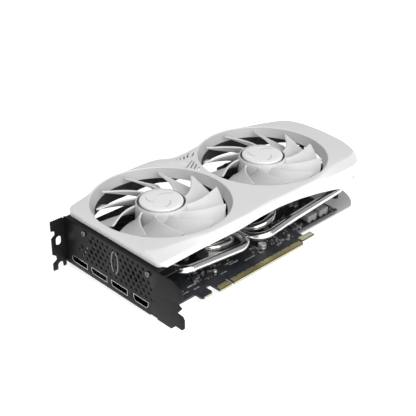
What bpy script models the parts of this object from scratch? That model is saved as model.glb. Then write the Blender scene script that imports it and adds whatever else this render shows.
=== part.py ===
"""A dual-fan graphics card, taken apart into the pieces that it is built from.

Frame while modelling, in millimetres: X = 0 is the outer face of the slot bracket and +X
runs to the far end, Y = 0 is the lower edge of the slot contacts and +Y runs to the card's
top edge, Z = 0 is the underside of the circuit board and +Z runs to the fans. Everything
hangs from one empty, which puts the origin at the middle of the whole card's footprint,
level with its lowest point. Lengths turn into metres when an object is made.
"""

from math import ceil, cos, pi, radians, sin, sqrt, tan

import bmesh
import bpy
from mathutils import Vector

MM = 0.001
GAP = 0.3               # clearance between pieces that rest on each other
SINK = 0.5              # how far one shape reaches into another that it is fused with
THROUGH = 2.0           # how far a cutter stands out of what it cuts

# Shroud
SHROUD_LEFT = 3.5
SHROUD_LENGTH = 221.3
SHROUD_NEAR = 11.8
SHROUD_FAR = 117.8
SHROUD_WAIST = 110.0
SHROUD_TOP = 38.2
SHROUD_WALL = 1.6
SHROUD_CORNER = 5.0     # radius of the two corners at the bracket
SHROUD_SHOULDER = 3.0   # height of the rounded edge between walls and top
SHROUD_HEM = 18.4       # lowest edge of its walls
SHOULDER_INSET = 2.2    # how far the rounded edge leans in
NEAR_BAND = 9.0         # widest part of the sloping band along the near edge
NARROW_BAND = 1.5
BAND_STEP = 0.21        # how far under the shoulder the band starts

# Fans
FAN_END_MARGIN = 52.0   # from the shroud's left end to the first fan's axis
FAN_FAR_MARGIN = 67.2   # from the second fan's axis to the shroud's far end
FAN_Y = 67.0
OPENING_RADIUS = 48.95
THROAT_DROP = 7.2
THROAT_TAPER = 3.3
BLADES = 11
TIP_CLEARANCE = 4.55    # from the blades' tips to the opening's rim
BLADE_THICK = 1.3
BLADE_TOP = 37.0
BLADE_DROP = 10.8
BLADE_CHORD = 33.0      # degrees of turn that one blade covers
BLADE_SWEEP = 36.0      # degrees by which the root trails the tip
TIP_PHASE = 18.5        # degrees, where the first blade's tip stands at rest
HUB_RADIUS = 18.2
HUB_WALL = 1.5
HUB_LOW = 24.4
HUB_DECK = 36.5
HUB_RIM_RISE = 1.3
CAP_MARGIN = 2.4        # how much narrower the cap is than the hub
CAP_THICK = 2.1
MAGNET_THICK = 1.6
MAGNET_HEIGHT = 8.0
SHAFT_RADIUS = 1.5
BEARING_WALL = 1.4
RUNNING_GAP = 0.08      # radial clearance of the shaft in its bearing
STATOR_GAP = 0.6
ARM_PLATE = 1.6
ARM_WIDTH = 5.0
ARM_TURNS = (5.0, 142.0, 245.0)   # degrees round the fan's axis, clear of the shroud's walls
POST_RADIUS = 2.2

# Circuit board
PCB_THICK = 1.57
PCB_LEFT = 1.4
PCB_RIGHT = 185.8
PCB_NEAR = 14.2
PCB_LOWER_NEAR = 8.2
PCB_FAR = 106.6
CONTACT_LEFT = 46.4
CONTACT_RIGHT = 130.7
KEY_X = 58.55
KEY_WIDTH = 1.9
KEY_DEPTH = 8.0
HOOK_LEFT = 132.5
HOOK_RIGHT = 146.0
POWER_WIDTH = 18.4
POWER_DEPTH = 14.0
POWER_HEIGHT = 10.2
POWER_OVERHANG = 4.0    # how far the supply socket stands out of the board's far edge

CHOKE_SIDE = 10.0
CHOKE_HEIGHT = 5.4
CAPACITOR_RADIUS = 3.1
CAPACITOR_HEIGHT = 6.8
CAPACITOR_PITCH = 9.0

# Backplate
BACKPLATE_THICK = 1.2
BACKPLATE_DROP = 2.0    # from the board's underside to the plate
BACKPLATE_NEAR = 14.2
BACKPLATE_INSET = 1.2   # inside the shroud's outline
END_POST_RADIUS = 2.6
END_POST_INSET = (20.6, 19.2)   # of the post's axis, from the shroud's far end and near edge

# Slot bracket
SHEET = 0.86
BRACKET_LOW = -3.6
BRACKET_HIGH = 31.9
BRACKET_BEND = 104.0
TAB_LENGTH = 11.43
FLANGE_DEPTH = 5.6
FLANGE_NEAR = 10.0

# Sockets in the bracket
DP_WIDTH = 17.4
DP_HEIGHT = 5.6
DP_DEPTH = 15.0
DP_FIRST = 46.6
DP_PITCH = 20.8
HDMI_WIDTH = 15.4
HDMI_HEIGHT = 6.2
HDMI_DEPTH = 12.5
HDMI_CENTRE = 25.2
SOCKET_LOW = -0.4
SOCKET_WALL = 0.8
SOCKET_CAVITY = 9.0

# Cooler
GPU_X = 94.2
GPU_Y = 60.0
PACKAGE_SIDE = 40.0
PACKAGE_THICK = 1.2
DIE_WIDTH = 20.0
DIE_DEPTH = 17.0
DIE_THICK = 0.8
COLD_PLATE_SIDE = 74.0
COLD_PLATE_THICK = 2.8
MEMORY_WIDTH = 14.0
MEMORY_DEPTH = 12.0
MEMORY_THICK = 1.1
PIPE_RADIUS = 3.0
PIPE_SPACING = 0.4      # between neighbouring pipes on the cold plate
PIPE_FIN_RISE = 5.6     # how much higher the pipes lie in the fins than on the cold plate
FIN_LOW = 9.6
FIN_HIGH = 21.3
FIN_THICK = 0.6
FIN_PITCH = 3.9
FIN_DECK = 0.9
FIN_NEAR = 39.0
FIN_FAR = 103.0
PIPE_END = 5.0          # from a pipe's closed end to the fins' far face
SPRING_SCREW_SPREAD = 33.0
SCREW_RADIUS = 1.25
SCREW_HEAD = 2.9
SCREW_HEAD_THICK = 1.5
STAY_THICK = 1.0

# Values that follow from those above
SHROUD_RIGHT = SHROUD_LEFT + SHROUD_LENGTH
FAN_X = (SHROUD_LEFT + FAN_END_MARGIN, SHROUD_RIGHT - FAN_FAR_MARGIN)
THROAT_RADIUS = OPENING_RADIUS - THROAT_TAPER
BLADE_TIP = OPENING_RADIUS - TIP_CLEARANCE
CAP_RADIUS = HUB_RADIUS - CAP_MARGIN
PIPE_PITCH = 2 * PIPE_RADIUS + PIPE_SPACING
PACKAGE_LOW = PCB_THICK + GAP
DIE_LOW = PACKAGE_LOW + PACKAGE_THICK + GAP
COLD_PLATE_LOW = DIE_LOW + DIE_THICK + GAP
COLD_PLATE_HIGH = COLD_PLATE_LOW + COLD_PLATE_THICK
PIPE_BASE_Z = COLD_PLATE_HIGH + GAP + PIPE_RADIUS
PIPE_FIN_Z = PIPE_BASE_Z + PIPE_FIN_RISE
POWER_NEAR = PCB_FAR + POWER_OVERHANG - POWER_DEPTH
FIN_FAR_RIGHT = POWER_NEAR - 1.2
ARM_LOW = FIN_HIGH + 0.7
ARM_HIGH = ARM_LOW + ARM_PLATE
POST_TOP = ARM_HIGH + 3.0
BACKPLATE_HIGH = -BACKPLATE_DROP
BACKPLATE_LOW = BACKPLATE_HIGH - BACKPLATE_THICK
TAB_EAR_LOW = BRACKET_LOW - 3.5
TONGUE_END = -14.8
POST_REACH = OPENING_RADIUS + SHROUD_WALL + GAP + POST_RADIUS - 0.8

for old in list(bpy.data.objects):
    bpy.data.objects.remove(old, do_unlink=True)

card = bpy.data.objects.new("card_origin", None)
card.location = (
    -(SHROUD_RIGHT - TAB_LENGTH) / 2 * MM,
    -(SHROUD_FAR + TONGUE_END) / 2 * MM,
    -TAB_EAR_LOW * MM,
)
bpy.context.scene.collection.objects.link(card)


# Materials

def finish(name, colour, roughness, metallic=0.0):
    """A Principled material with one colour and one gloss."""
    look = bpy.data.materials.new(name)
    look.use_nodes = True
    shader = look.node_tree.nodes["Principled BSDF"]
    shader.inputs["Base Color"].default_value = (*colour, 1.0)
    shader.inputs["Roughness"].default_value = roughness
    shader.inputs["Metallic"].default_value = metallic
    return look


WHITE_SHELL = finish("white_shell", (0.80, 0.80, 0.80), 0.45)
WHITE_BLADE = finish("white_blade", (0.74, 0.74, 0.75), 0.5)
WHITE_CAP = finish("white_cap", (0.85, 0.85, 0.85), 0.35)
DARK_PLASTIC = finish("dark_plastic", (0.03, 0.03, 0.03), 0.5)
DARK_STEEL = finish("dark_steel", (0.045, 0.045, 0.047), 0.42, 0.6)
SCREW_STEEL = finish("screw_steel", (0.25, 0.25, 0.26), 0.3, 1.0)
BOARD = finish("board", (0.012, 0.014, 0.018), 0.4)
SOCKET_SHELL = finish("socket_shell", (0.55, 0.55, 0.56), 0.25, 1.0)
NICKEL = finish("nickel", (0.75, 0.75, 0.74), 0.12, 1.0)
FIN_METAL = finish("fin_metal", (0.30, 0.30, 0.31), 0.4, 1.0)
PLATE_GREY = finish("plate_grey", (0.52, 0.52, 0.53), 0.45)
CHIP_BLACK = finish("chip_black", (0.02, 0.02, 0.02), 0.5)
DIE_MIRROR = finish("die_mirror", (0.25, 0.27, 0.30), 0.08, 0.8)
PAD_GREY = finish("pad_grey", (0.35, 0.38, 0.42), 0.8)
CHOKE_GREY = finish("choke_grey", (0.48, 0.48, 0.47), 0.5)
COPPER = finish("copper", (0.60, 0.30, 0.18), 0.35, 1.0)


# Making and joining solids

def add_solid(name, form, look, at=(0.0, 0.0, 0.0)):
    """Makes an object in metres from a bmesh in millimetres, under the card's origin."""
    bmesh.ops.scale(form, vec=(MM, MM, MM), verts=form.verts)
    mesh = bpy.data.meshes.new(name)
    form.to_mesh(mesh)
    form.free()
    mesh.materials.append(look)
    obj = bpy.data.objects.new(name, mesh)
    bpy.context.scene.collection.objects.link(obj)
    obj.parent = card
    obj.location = Vector(at) * MM
    return obj


def combine(target, form, operation, at=(0.0, 0.0, 0.0)):
    """Cuts a form from an object, or fuses it with the object."""
    helper = add_solid(f"{target.name}_{operation.lower()}", form, target.data.materials[0], at)
    helper.hide_render = True
    helper.display_type = "WIRE"
    step = target.modifiers.new(operation.lower(), "BOOLEAN")
    step.operation = operation
    step.solver = "EXACT"
    step.object = helper
    return helper


def cut(target, form, at=(0.0, 0.0, 0.0)):
    return combine(target, form, "DIFFERENCE", at)


def fuse(target, form, at=(0.0, 0.0, 0.0)):
    return combine(target, form, "UNION", at)


def shade_round(obj, angle=35.0):
    """Smooth shading, with edges sharper than the angle left crisp."""
    obj.data.shade_smooth()
    obj.data.set_sharp_from_angle(angle=radians(angle))
    return obj


def prism(outline, axis, low, high, form=None):
    """An outline of two coordinates, extruded along the third axis from low to high."""
    form = form or bmesh.new()
    place = {
        "X": lambda a, b: (low, a, b),
        "Y": lambda a, b: (a, low, b),
        "Z": lambda a, b: (a, b, low),
    }[axis]
    face = form.faces.new([form.verts.new(place(a, b)) for a, b in outline])
    grown = bmesh.ops.extrude_face_region(form, geom=[face])["geom"]
    top = [item for item in grown if isinstance(item, bmesh.types.BMVert)]
    along = Vector([high - low if name == axis else 0.0 for name in "XYZ"])
    bmesh.ops.translate(form, vec=along, verts=top)
    bmesh.ops.recalc_face_normals(form, faces=form.faces)
    return form


def block(low, high, form=None):
    """A box between two corners."""
    corners = ((low[0], low[1]), (high[0], low[1]), (high[0], high[1]), (low[0], high[1]))
    return prism(corners, "Z", low[2], high[2], form)


def circle(centre, radius, sides):
    """The corners of a regular outline round a centre."""
    turn = [2 * pi * k / sides for k in range(sides)]
    return [(centre[0] + radius * cos(a), centre[1] + radius * sin(a)) for a in turn]


def slot(centre, width, height, sides=6):
    """An upright slot with round ends, as an outline."""
    rise = (height - width) / 2
    turn = [pi * k / sides for k in range(sides + 1)]
    upper = [(centre[0] + width / 2 * cos(a), centre[1] + rise + width / 2 * sin(a)) for a in turn]
    lower = [(2 * centre[0] - a, 2 * centre[1] - b) for a, b in upper]
    return upper + lower


def turned(profile, sides):
    """A closed profile of radius and height, turned round the Z axis."""
    form = bmesh.new()
    ring = [form.verts.new((radius, 0.0, height)) for radius, height in profile]
    pairs = [(ring[k - 1], ring[k]) for k in range(len(ring))]
    edges = [form.edges.new(pair) for pair in pairs if any(vert.co.x > 0 for vert in pair)]
    bmesh.ops.spin(
        form, geom=edges, cent=(0, 0, 0), axis=(0, 0, 1),
        angle=2 * pi, steps=sides, use_merge=True,
    )
    bmesh.ops.remove_doubles(form, verts=form.verts, dist=1e-4)
    bmesh.ops.dissolve_degenerate(form, edges=form.edges, dist=1e-5)
    bmesh.ops.recalc_face_normals(form, faces=form.faces)
    return form


def tube(inner, outer, low, high, sides):
    return turned([(inner, low), (outer, low), (outer, high), (inner, high)], sides)


def rod(radius, low, high, sides):
    return prism(circle((0.0, 0.0), radius, sides), "Z", low, high)


def smooth_path(points, steps):
    """An open Catmull-Rom curve through the points."""
    ends = [points[0]] + list(points) + [points[-1]]
    path = []
    for k in range(len(points) - 1):
        a, b, c, d = (Vector(ends[k + i]) for i in range(4))
        for step in range(steps):
            t = step / steps
            path.append(
                0.5 * (2 * b + (c - a) * t + (2 * a - 5 * b + 4 * c - d) * t ** 2
                       + (3 * b - a - 3 * c + d) * t ** 3)
            )
    return path + [Vector(points[-1])]


def corner(centre, radius, start, end, sides=4):
    """Points along an arc from one angle to another, in degrees."""
    turn = [radians(start + (end - start) * k / sides) for k in range(sides + 1)]
    return [Vector((centre[0] + radius * cos(a), centre[1] + radius * sin(a))) for a in turn]


def inward(loop):
    """The unit normals of a counter-clockwise loop, pointing in."""
    normals = []
    for k in range(len(loop)):
        along = (loop[(k + 1) % len(loop)] - loop[k - 1]).normalized()
        normals.append(Vector((-along.y, along.x)))
    return normals


def shrunk(loop, distance):
    return [point + normal * distance for point, normal in zip(loop, inward(loop))]


# Shroud

def shroud_outline():
    """The shroud seen from above: square at the bracket, a waist between the fans, round at the end."""
    left, right, near, far = SHROUD_LEFT, SHROUD_RIGHT, SHROUD_NEAR, SHROUD_FAR
    first, second = FAN_X
    waist = (first + second) / 2
    centre = FAN_Y
    reach = FAN_FAR_MARGIN
    rounded = smooth_path(
        [
            (second + reach * 0.52, near), (second + reach * 0.62, near + 0.5),
            (second + reach * 0.73, near + 3.4), (second + reach * 0.84, near + 11.0),
            (second + reach * 0.92, near + 22.0), (right - 2.4, centre - 23.0),
            (right, centre), (right - 1.6, centre + 19.0),
            (right - 7.6, centre + 30.6), (second + reach * 0.66, centre + 38.6),
            (second + reach * 0.33, far - 5.0), (second + 5.0, far - 1.2),
            (second - 10.0, far - 3.4), (second - 24.0, SHROUD_WAIST + 2.2),
            (waist + 7.0, SHROUD_WAIST), (waist - 3.0, SHROUD_WAIST + 1.0),
            (first + 38.0, far - 1.2), (first + 20.0, far),
            (first, far - 1.8), (first - 18.0, far - 6.0),
            (left + 20.0, far - 9.4), (left + 9.0, far - 12.0),
        ],
        3,
    )
    radius = SHROUD_CORNER
    return (
        corner((left + radius, near + radius), radius, 180, 270)
        + rounded
        + corner((left + radius, far - 13.4 - radius), radius, 104, 180)
    )


def near_band(x):
    """Width of the sloping band at the near edge: widest at both ends, narrow by the fans."""
    first, second = FAN_X
    ease = max(0.0, min(1.0, max((first - x) / FAN_END_MARGIN, (x - second) / 30.0)))
    return NARROW_BAND + (NEAR_BAND - NARROW_BAND) * ease ** 1.5


def band_cutter(lowered):
    """What is cut away above the sloping band, or above the inside of its wall."""
    low = SHROUD_TOP - SHROUD_SHOULDER - BAND_STEP - lowered
    out = SHROUD_NEAR - THROUGH
    high = SHROUD_TOP + THROUGH - lowered
    form = bmesh.new()
    sections = []
    stations = 24
    for k in range(stations + 1):
        x = SHROUD_LEFT - THROUGH + (SHROUD_LENGTH + 2 * THROUGH) * k / stations
        band = near_band(x)
        slope = (SHROUD_SHOULDER + BAND_STEP) / band
        reach = SHROUD_NEAR + band + THROUGH / slope
        corners = [(out, low - slope * THROUGH), (reach, high), (out, high)]
        verts = [form.verts.new((x, y, z)) for y, z in corners]
        sections.append([form.edges.new((verts[i - 1], verts[i])) for i in range(3)])
        if k in (0, stations):
            form.faces.new(verts)
    for before, after in zip(sections, sections[1:]):
        bmesh.ops.bridge_loops(form, edges=before + after)
    bmesh.ops.triangulate(form, faces=form.faces)
    bmesh.ops.recalc_face_normals(form, faces=form.faces)
    return form


def lofted(loops, levels):
    """A solid whose cross-section goes through one loop at each level."""
    form = bmesh.new()
    rings = []
    for loop, level in zip(loops, levels):
        ring = [form.verts.new((point.x, point.y, level)) for point in loop]
        edges = [form.edges.new((ring[k - 1], ring[k])) for k in range(len(ring))]
        rings.append((ring, edges))
    for (_, lower), (_, upper) in zip(rings, rings[1:]):
        bmesh.ops.bridge_loops(form, edges=lower + upper)
    form.faces.new(rings[0][0])
    form.faces.new(rings[-1][0])
    bmesh.ops.recalc_face_normals(form, faces=form.faces)
    return form


def shouldered(loop, low, top, shrink):
    """The shroud's body: upright walls with a rounded shoulder, all set in by a wall."""
    levels = [low, top - SHROUD_SHOULDER]
    loops = [shrunk(loop, shrink)] * 2
    for turn in (45, 90):
        loops.append(shrunk(loop, shrink + SHOULDER_INSET * (1 - cos(radians(turn)))))
        levels.append(top - SHROUD_SHOULDER * (1 - sin(radians(turn))))
    return lofted(loops, levels)


def throat(extra, low, high):
    """The bell mouth of a fan opening: a cone, then a straight throat."""
    lip = SHROUD_TOP - THROAT_DROP
    slope = THROAT_TAPER / THROAT_DROP
    wide = THROAT_RADIUS + extra + slope * (high - lip)
    return turned(
        [(0.0, low), (THROAT_RADIUS + extra, low), (THROAT_RADIUS + extra, lip),
         (wide, high), (0.0, high)],
        48,
    )


def hem_line():
    """The lower edge of the long walls: an arch over the heat pipes, falling to the far end."""
    left, right = SHROUD_LEFT, SHROUD_RIGHT
    first, second = FAN_X
    above_flange = BRACKET_HIGH + GAP
    return [
        (left - THROUGH, above_flange + 0.2), (left + 4.6, above_flange), (left + 6.2, 29.9),
        (first - 16.0, 30.6), (first + 20.0, 30.2), (first + 40.0, 31.8),
        ((first + second) / 2 + 9.0, 32.2), (second - 22.0, 30.4), (second, 26.9),
        (second + 18.0, 23.0), (second + 31.0, SHROUD_HEM + 1.0), (second + 40.0, SHROUD_HEM),
        (right + THROUGH, SHROUD_HEM),
    ]


def make_shroud():
    outline = shroud_outline()
    shroud = add_solid(
        "shroud", shouldered(outline, SHROUD_HEM, SHROUD_TOP, 0.0), WHITE_SHELL
    )
    cavity = cut(shroud, shouldered(outline, SHROUD_HEM - THROUGH, SHROUD_TOP - SHROUD_WALL,
                                    SHROUD_WALL))
    cut(cavity, band_cutter(SHROUD_WALL * 1.3))
    cut(shroud, band_cutter(0.0))
    hem = hem_line()
    below = [(hem[-1][0], SHROUD_HEM - THROUGH), (hem[0][0], SHROUD_HEM - THROUGH)]
    cut(shroud, prism(hem + below, "Y", SHROUD_NEAR - 10.0, FAN_Y))
    end = hem[:2] + [(x, SHROUD_HEM - THROUGH) for x, _ in hem[1::-1]]
    cut(shroud, prism(end, "Y", FAN_Y - SINK, SHROUD_FAR + 10.0))
    deck = SHROUD_TOP - SHROUD_WALL + SINK
    for x in FAN_X:
        for place in post_places():
            boss = prism(circle(place, POST_RADIUS + 1.1, 12), "Z", POST_TOP + GAP, deck + 0.17)
            fuse(shroud, boss, (x, FAN_Y, 0.0))
        fuse(shroud, throat(SHROUD_WALL, SHROUD_TOP - THROAT_DROP, deck), (x, FAN_Y, 0.0))
        cut(shroud, throat(0.0, SHROUD_TOP - THROAT_DROP - THROUGH, SHROUD_TOP + THROUGH),
            (x, FAN_Y, 0.0))
    middle = (FAN_X[0] + FAN_X[1]) / 2
    for start, end in waist_slots(middle):
        cut(shroud, stroke(start, end, 0.9, SHROUD_TOP - SHROUD_WALL - THROUGH,
                           SHROUD_TOP + THROUGH))
    shade_round(shroud, 30.0)


def waist_slots(middle):
    """The ends of the slanting slots between the two openings, near the far edge."""
    return [
        ((middle - 5.6 + 2.5 * k, 90.2 - 2.5 * k), (middle + 7.6 - 0.8 * k, 97.8 - 3.6 * k))
        for k in range(3)
    ]


def stroke(start, end, width, low, high):
    """An upright cutter along a line, as wide as a slot."""
    along = (Vector(end) - Vector(start)).normalized()
    side = Vector((-along.y, along.x)) * width / 2
    corners = [Vector(start) - side, Vector(end) - side, Vector(end) + side, Vector(start) + side]
    return prism([tuple(corner) for corner in corners], "Z", low, high)


# Fans

def blade(turn):
    """One swept blade: its leading edge is the highest and turns foremost."""
    form = bmesh.new()
    bmesh.ops.create_grid(form, x_segments=6, y_segments=3, size=0.5)
    root = HUB_RADIUS - HUB_WALL / 2
    reach = BLADE_TIP - root
    for vert in form.verts:
        out, back = vert.co.x + 0.5, vert.co.y + 0.5
        radius = root + reach * out
        lag = BLADE_SWEEP * (1 - out) ** 1.35
        chord = BLADE_CHORD * (1 - 0.12 * (1 - out))
        angle = radians(TIP_PHASE + turn - lag - chord * back)
        fall = BLADE_DROP * (back + 0.12 * sin(pi * back))
        height = BLADE_TOP - 0.8 * (1 - out) - fall
        vert.co = (radius * cos(angle), radius * sin(angle), height)
    bmesh.ops.recalc_face_normals(form, faces=form.faces)
    bmesh.ops.solidify(form, geom=form.faces[:], thickness=BLADE_THICK)
    bmesh.ops.recalc_face_normals(form, faces=form.faces)
    return form


def gathered(forms):
    """Several separate shapes in one bmesh."""
    whole = bmesh.new()
    for form in forms:
        piece = bpy.data.meshes.new("piece")
        form.to_mesh(piece)
        form.free()
        whole.from_mesh(piece)
        bpy.data.meshes.remove(piece)
    return whole


def make_rotor(name, at):
    """The hub cup with its raised rim, and the blades."""
    inner = HUB_RADIUS - HUB_WALL
    rim = CAP_RADIUS + 1.1
    cup = turned(
        [(0.0, HUB_DECK - HUB_WALL), (inner, HUB_DECK - HUB_WALL), (inner, HUB_LOW),
         (HUB_RADIUS, HUB_LOW), (HUB_RADIUS, HUB_DECK + HUB_RIM_RISE - 0.5),
         (HUB_RADIUS - 0.4, HUB_DECK + HUB_RIM_RISE), (rim, HUB_DECK + HUB_RIM_RISE),
         (rim, HUB_DECK), (0.0, HUB_DECK)],
        36,
    )
    rotor = add_solid(name, cup, WHITE_BLADE, at)
    fuse(rotor, gathered(blade(360.0 * k / BLADES) for k in range(BLADES)), at)
    shade_round(rotor, 40.0)


def make_hub_cap(name, at):
    """The white disc on the hub, with a rounded edge."""
    low = HUB_DECK + GAP
    high = low + CAP_THICK
    form = turned(
        [(0.0, low), (CAP_RADIUS, low), (CAP_RADIUS, high - 0.9), (CAP_RADIUS - 0.3, high - 0.4),
         (CAP_RADIUS - 1.0, high - 0.15), (0.0, high)],
        36,
    )
    shade_round(add_solid(name, form, WHITE_CAP, at))


def make_motor(side, at):
    """Shaft and magnet turn with the rotor; bearing and stator stand on the arm plate."""
    deck = HUB_DECK - HUB_WALL - GAP
    cup = HUB_RADIUS - HUB_WALL - GAP
    base = ARM_HIGH + GAP
    sleeve = SHAFT_RADIUS + RUNNING_GAP
    add_solid(f"magnet_ring_{side}", tube(cup - MAGNET_THICK, cup, deck - MAGNET_HEIGHT, deck, 32),
              CHIP_BLACK, at)
    add_solid(f"fan_shaft_{side}", rod(SHAFT_RADIUS, base + GAP, deck, 16), SCREW_STEEL, at)
    add_solid(f"fan_bearing_{side}",
              tube(sleeve / cos(pi / 16), sleeve + BEARING_WALL, base, deck - 1.0, 16), COPPER, at)
    core = sleeve + BEARING_WALL + GAP
    add_solid(f"fan_stator_{side}",
              tube(core / cos(pi / 24), cup - MAGNET_THICK - STATOR_GAP, base, deck - 1.4, 24),
              COPPER, at)


def post_places():
    """Where the fan's posts stand round its axis."""
    return [(POST_REACH * cos(radians(turn)), POST_REACH * sin(radians(turn)))
            for turn in ARM_TURNS]


def make_arms(side, at):
    """The motor's round base on three arms, with posts that meet the shroud's bosses."""
    base_radius = HUB_RADIUS - 1.0
    arms = add_solid(f"fan_arms_{side}", rod(base_radius, ARM_LOW, ARM_HIGH, 32), DARK_PLASTIC, at)
    for place in post_places():
        outward = Vector(place).normalized()
        across = Vector((-outward.y, outward.x)) * ARM_WIDTH / 2
        start = outward * (base_radius - 2 * SINK)
        end = Vector(place)
        corners = (start - across, end - across, end + across, start + across)
        arm = prism([tuple(point) for point in corners], "Z", ARM_LOW + 0.01, ARM_HIGH - 0.01)
        fuse(arms, arm, at)
        fuse(arms, prism(circle(place, POST_RADIUS, 12), "Z", ARM_LOW - 0.01, POST_TOP), at)


def make_fans():
    for side, x in zip(("left", "right"), FAN_X):
        at = (x, FAN_Y, 0.0)
        make_rotor(f"fan_rotor_{side}", at)
        make_hub_cap(f"hub_cap_{side}", at)
        make_motor(side, at)
        make_arms(side, at)


# Circuit board and what is soldered to it

def board_outline():
    """The board's edge: a tooth, the contact tongue with its key, the retaining hook."""
    key = KEY_X - KEY_WIDTH / 2
    return [
        (PCB_LEFT, PCB_LOWER_NEAR), (31.7, PCB_LOWER_NEAR), (31.7, 3.2), (33.2, 1.7), (40.4, 1.7),
        (41.9, 3.2), (41.9, 9.7), (CONTACT_LEFT, 9.7), (CONTACT_LEFT, 1.2),
        (CONTACT_LEFT + 1.2, 0.0), (key - 0.4, 0.0), (key, 0.4), (key, KEY_DEPTH),
        (key + KEY_WIDTH, KEY_DEPTH), (key + KEY_WIDTH, 0.4), (key + KEY_WIDTH + 0.4, 0.0),
        (CONTACT_RIGHT - 1.2, 0.0), (CONTACT_RIGHT, 1.2), (CONTACT_RIGHT, PCB_NEAR - 4.0),
        (HOOK_LEFT, PCB_NEAR - 4.0), (HOOK_LEFT, 3.6), (HOOK_RIGHT, 3.6), (HOOK_RIGHT, 8.0),
        (HOOK_LEFT + 6.0, 8.0), (HOOK_LEFT + 6.0, PCB_NEAR), (PCB_RIGHT, PCB_NEAR),
        (PCB_RIGHT, PCB_FAR), (PCB_LEFT, PCB_FAR),
    ]


def screw_places():
    """Where the four spring screws of the cold plate and the four backplate screws stand."""
    spread = SPRING_SCREW_SPREAD
    springs = [(GPU_X + i * spread, GPU_Y + j * spread) for i in (-1, 1) for j in (-1, 1)]
    corners = [(x, y) for x in (PCB_LEFT + 24.0, PCB_RIGHT - 6.0)
               for y in (PCB_NEAR + 8.0, PCB_FAR - 8.0)]
    return springs, corners


def make_board():
    board = add_solid("circuit_board", prism(board_outline(), "Z", 0.0, PCB_THICK), BOARD)
    springs, corners = screw_places()
    for x, y in springs + corners:
        hole = circle((x, y), SCREW_RADIUS + GAP, 10)
        cut(board, prism(hole, "Z", -THROUGH, PCB_THICK + THROUGH))
    for centre, width, depth in sockets():
        reach = SHEET + GAP + depth + GAP
        cut(board, block((PCB_LEFT - THROUGH, centre - width / 2 - GAP, -THROUGH),
                         (reach, centre + width / 2 + GAP, PCB_THICK + THROUGH)))


def sockets():
    """Centre, width and depth of each socket along the bracket."""
    rows = [(DP_FIRST + DP_PITCH * k, DP_WIDTH, DP_DEPTH) for k in range(3)]
    return rows + [(HDMI_CENTRE, HDMI_WIDTH, HDMI_DEPTH)]


def dp_shape(centre, low, width, height):
    """The outline of a monitor socket with one corner cut off."""
    left, right = centre - width / 2, centre + width / 2
    nick = height * 0.32
    return [(left, low), (right - nick, low), (right, low + nick), (right, low + height),
            (left, low + height)]


def hdmi_shape(centre, low, width, height):
    """The outline of a socket whose lower corners slope in."""
    left, right = centre - width / 2, centre + width / 2
    slope = height * 0.36
    return [(left + slope, low), (right - slope, low), (right, low + slope * 1.4),
            (right, low + height), (left, low + height), (left, low + slope * 1.4)]


def make_socket(name, shape, centre, width, height, depth):
    """A pressed shell, open to the front, with the contact tongue in its cavity."""
    low = SOCKET_LOW
    front = SHEET + GAP
    shell = add_solid(name, prism(shape(centre, low, width, height), "X", front, front + depth),
                      SOCKET_SHELL)
    wall = SOCKET_WALL
    inner = shape(centre, low + wall, width - 2 * wall, height - 2 * wall)
    cut(shell, prism(inner, "X", front - THROUGH, front + SOCKET_CAVITY))
    middle = low + height * 0.62
    fuse(shell, block((front + 1.2, centre - width * 0.33, middle - 0.4),
                      (front + SOCKET_CAVITY + SINK, centre + width * 0.33, middle + 0.4)))


def make_sockets():
    for k in range(3):
        make_socket(f"displayport_{k + 1}", dp_shape, DP_FIRST + DP_PITCH * k,
                    DP_WIDTH, DP_HEIGHT, DP_DEPTH)
    make_socket("hdmi_port", hdmi_shape, HDMI_CENTRE, HDMI_WIDTH, HDMI_HEIGHT, HDMI_DEPTH)


def make_chips():
    """The processor with its die, the memory round it and the pads on the memory."""
    half = PACKAGE_SIDE / 2
    top = PACKAGE_LOW + PACKAGE_THICK
    add_solid("gpu_package", block((GPU_X - half, GPU_Y - half, PACKAGE_LOW),
                                   (GPU_X + half, GPU_Y + half, top)), CHIP_BLACK)
    add_solid("gpu_die", block((GPU_X - DIE_WIDTH / 2, GPU_Y - DIE_DEPTH / 2, DIE_LOW),
                               (GPU_X + DIE_WIDTH / 2, GPU_Y + DIE_DEPTH / 2,
                                DIE_LOW + DIE_THICK)), DIE_MIRROR)
    column = GPU_X + half + 3.0
    memory_top = PACKAGE_LOW + MEMORY_THICK
    count = 0
    for side in (-1, 1):
        near_x = GPU_X + side * (column - GPU_X)
        far_x = near_x + side * MEMORY_DEPTH
        low_x, high_x = min(near_x, far_x), max(near_x, far_x)
        for y in (GPU_Y - MEMORY_WIDTH - 1.5, GPU_Y + 1.5):
            count += 1
            add_solid(f"memory_chip_{count}", block((low_x, y, PACKAGE_LOW),
                                                    (high_x, y + MEMORY_WIDTH, memory_top)),
                      CHIP_BLACK)
        pad_low = memory_top + GAP
        add_solid(f"thermal_pad_{'left' if side < 0 else 'right'}",
                  block((low_x + 0.5, GPU_Y - MEMORY_WIDTH - 1.0, pad_low),
                        (high_x - 0.5, GPU_Y + MEMORY_WIDTH + 1.0, COLD_PLATE_LOW - GAP)),
                  PAD_GREY)


def choke_places():
    """The coils of the supply stages: a row beyond the processor, two at the near corner."""
    near = PCB_NEAR + 1.4
    right = PCB_RIGHT
    return [(right - 32.8, near), (right - 19.8, near), (right - 35.8, 44.0), (right - 35.8, 60.0)]


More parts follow.
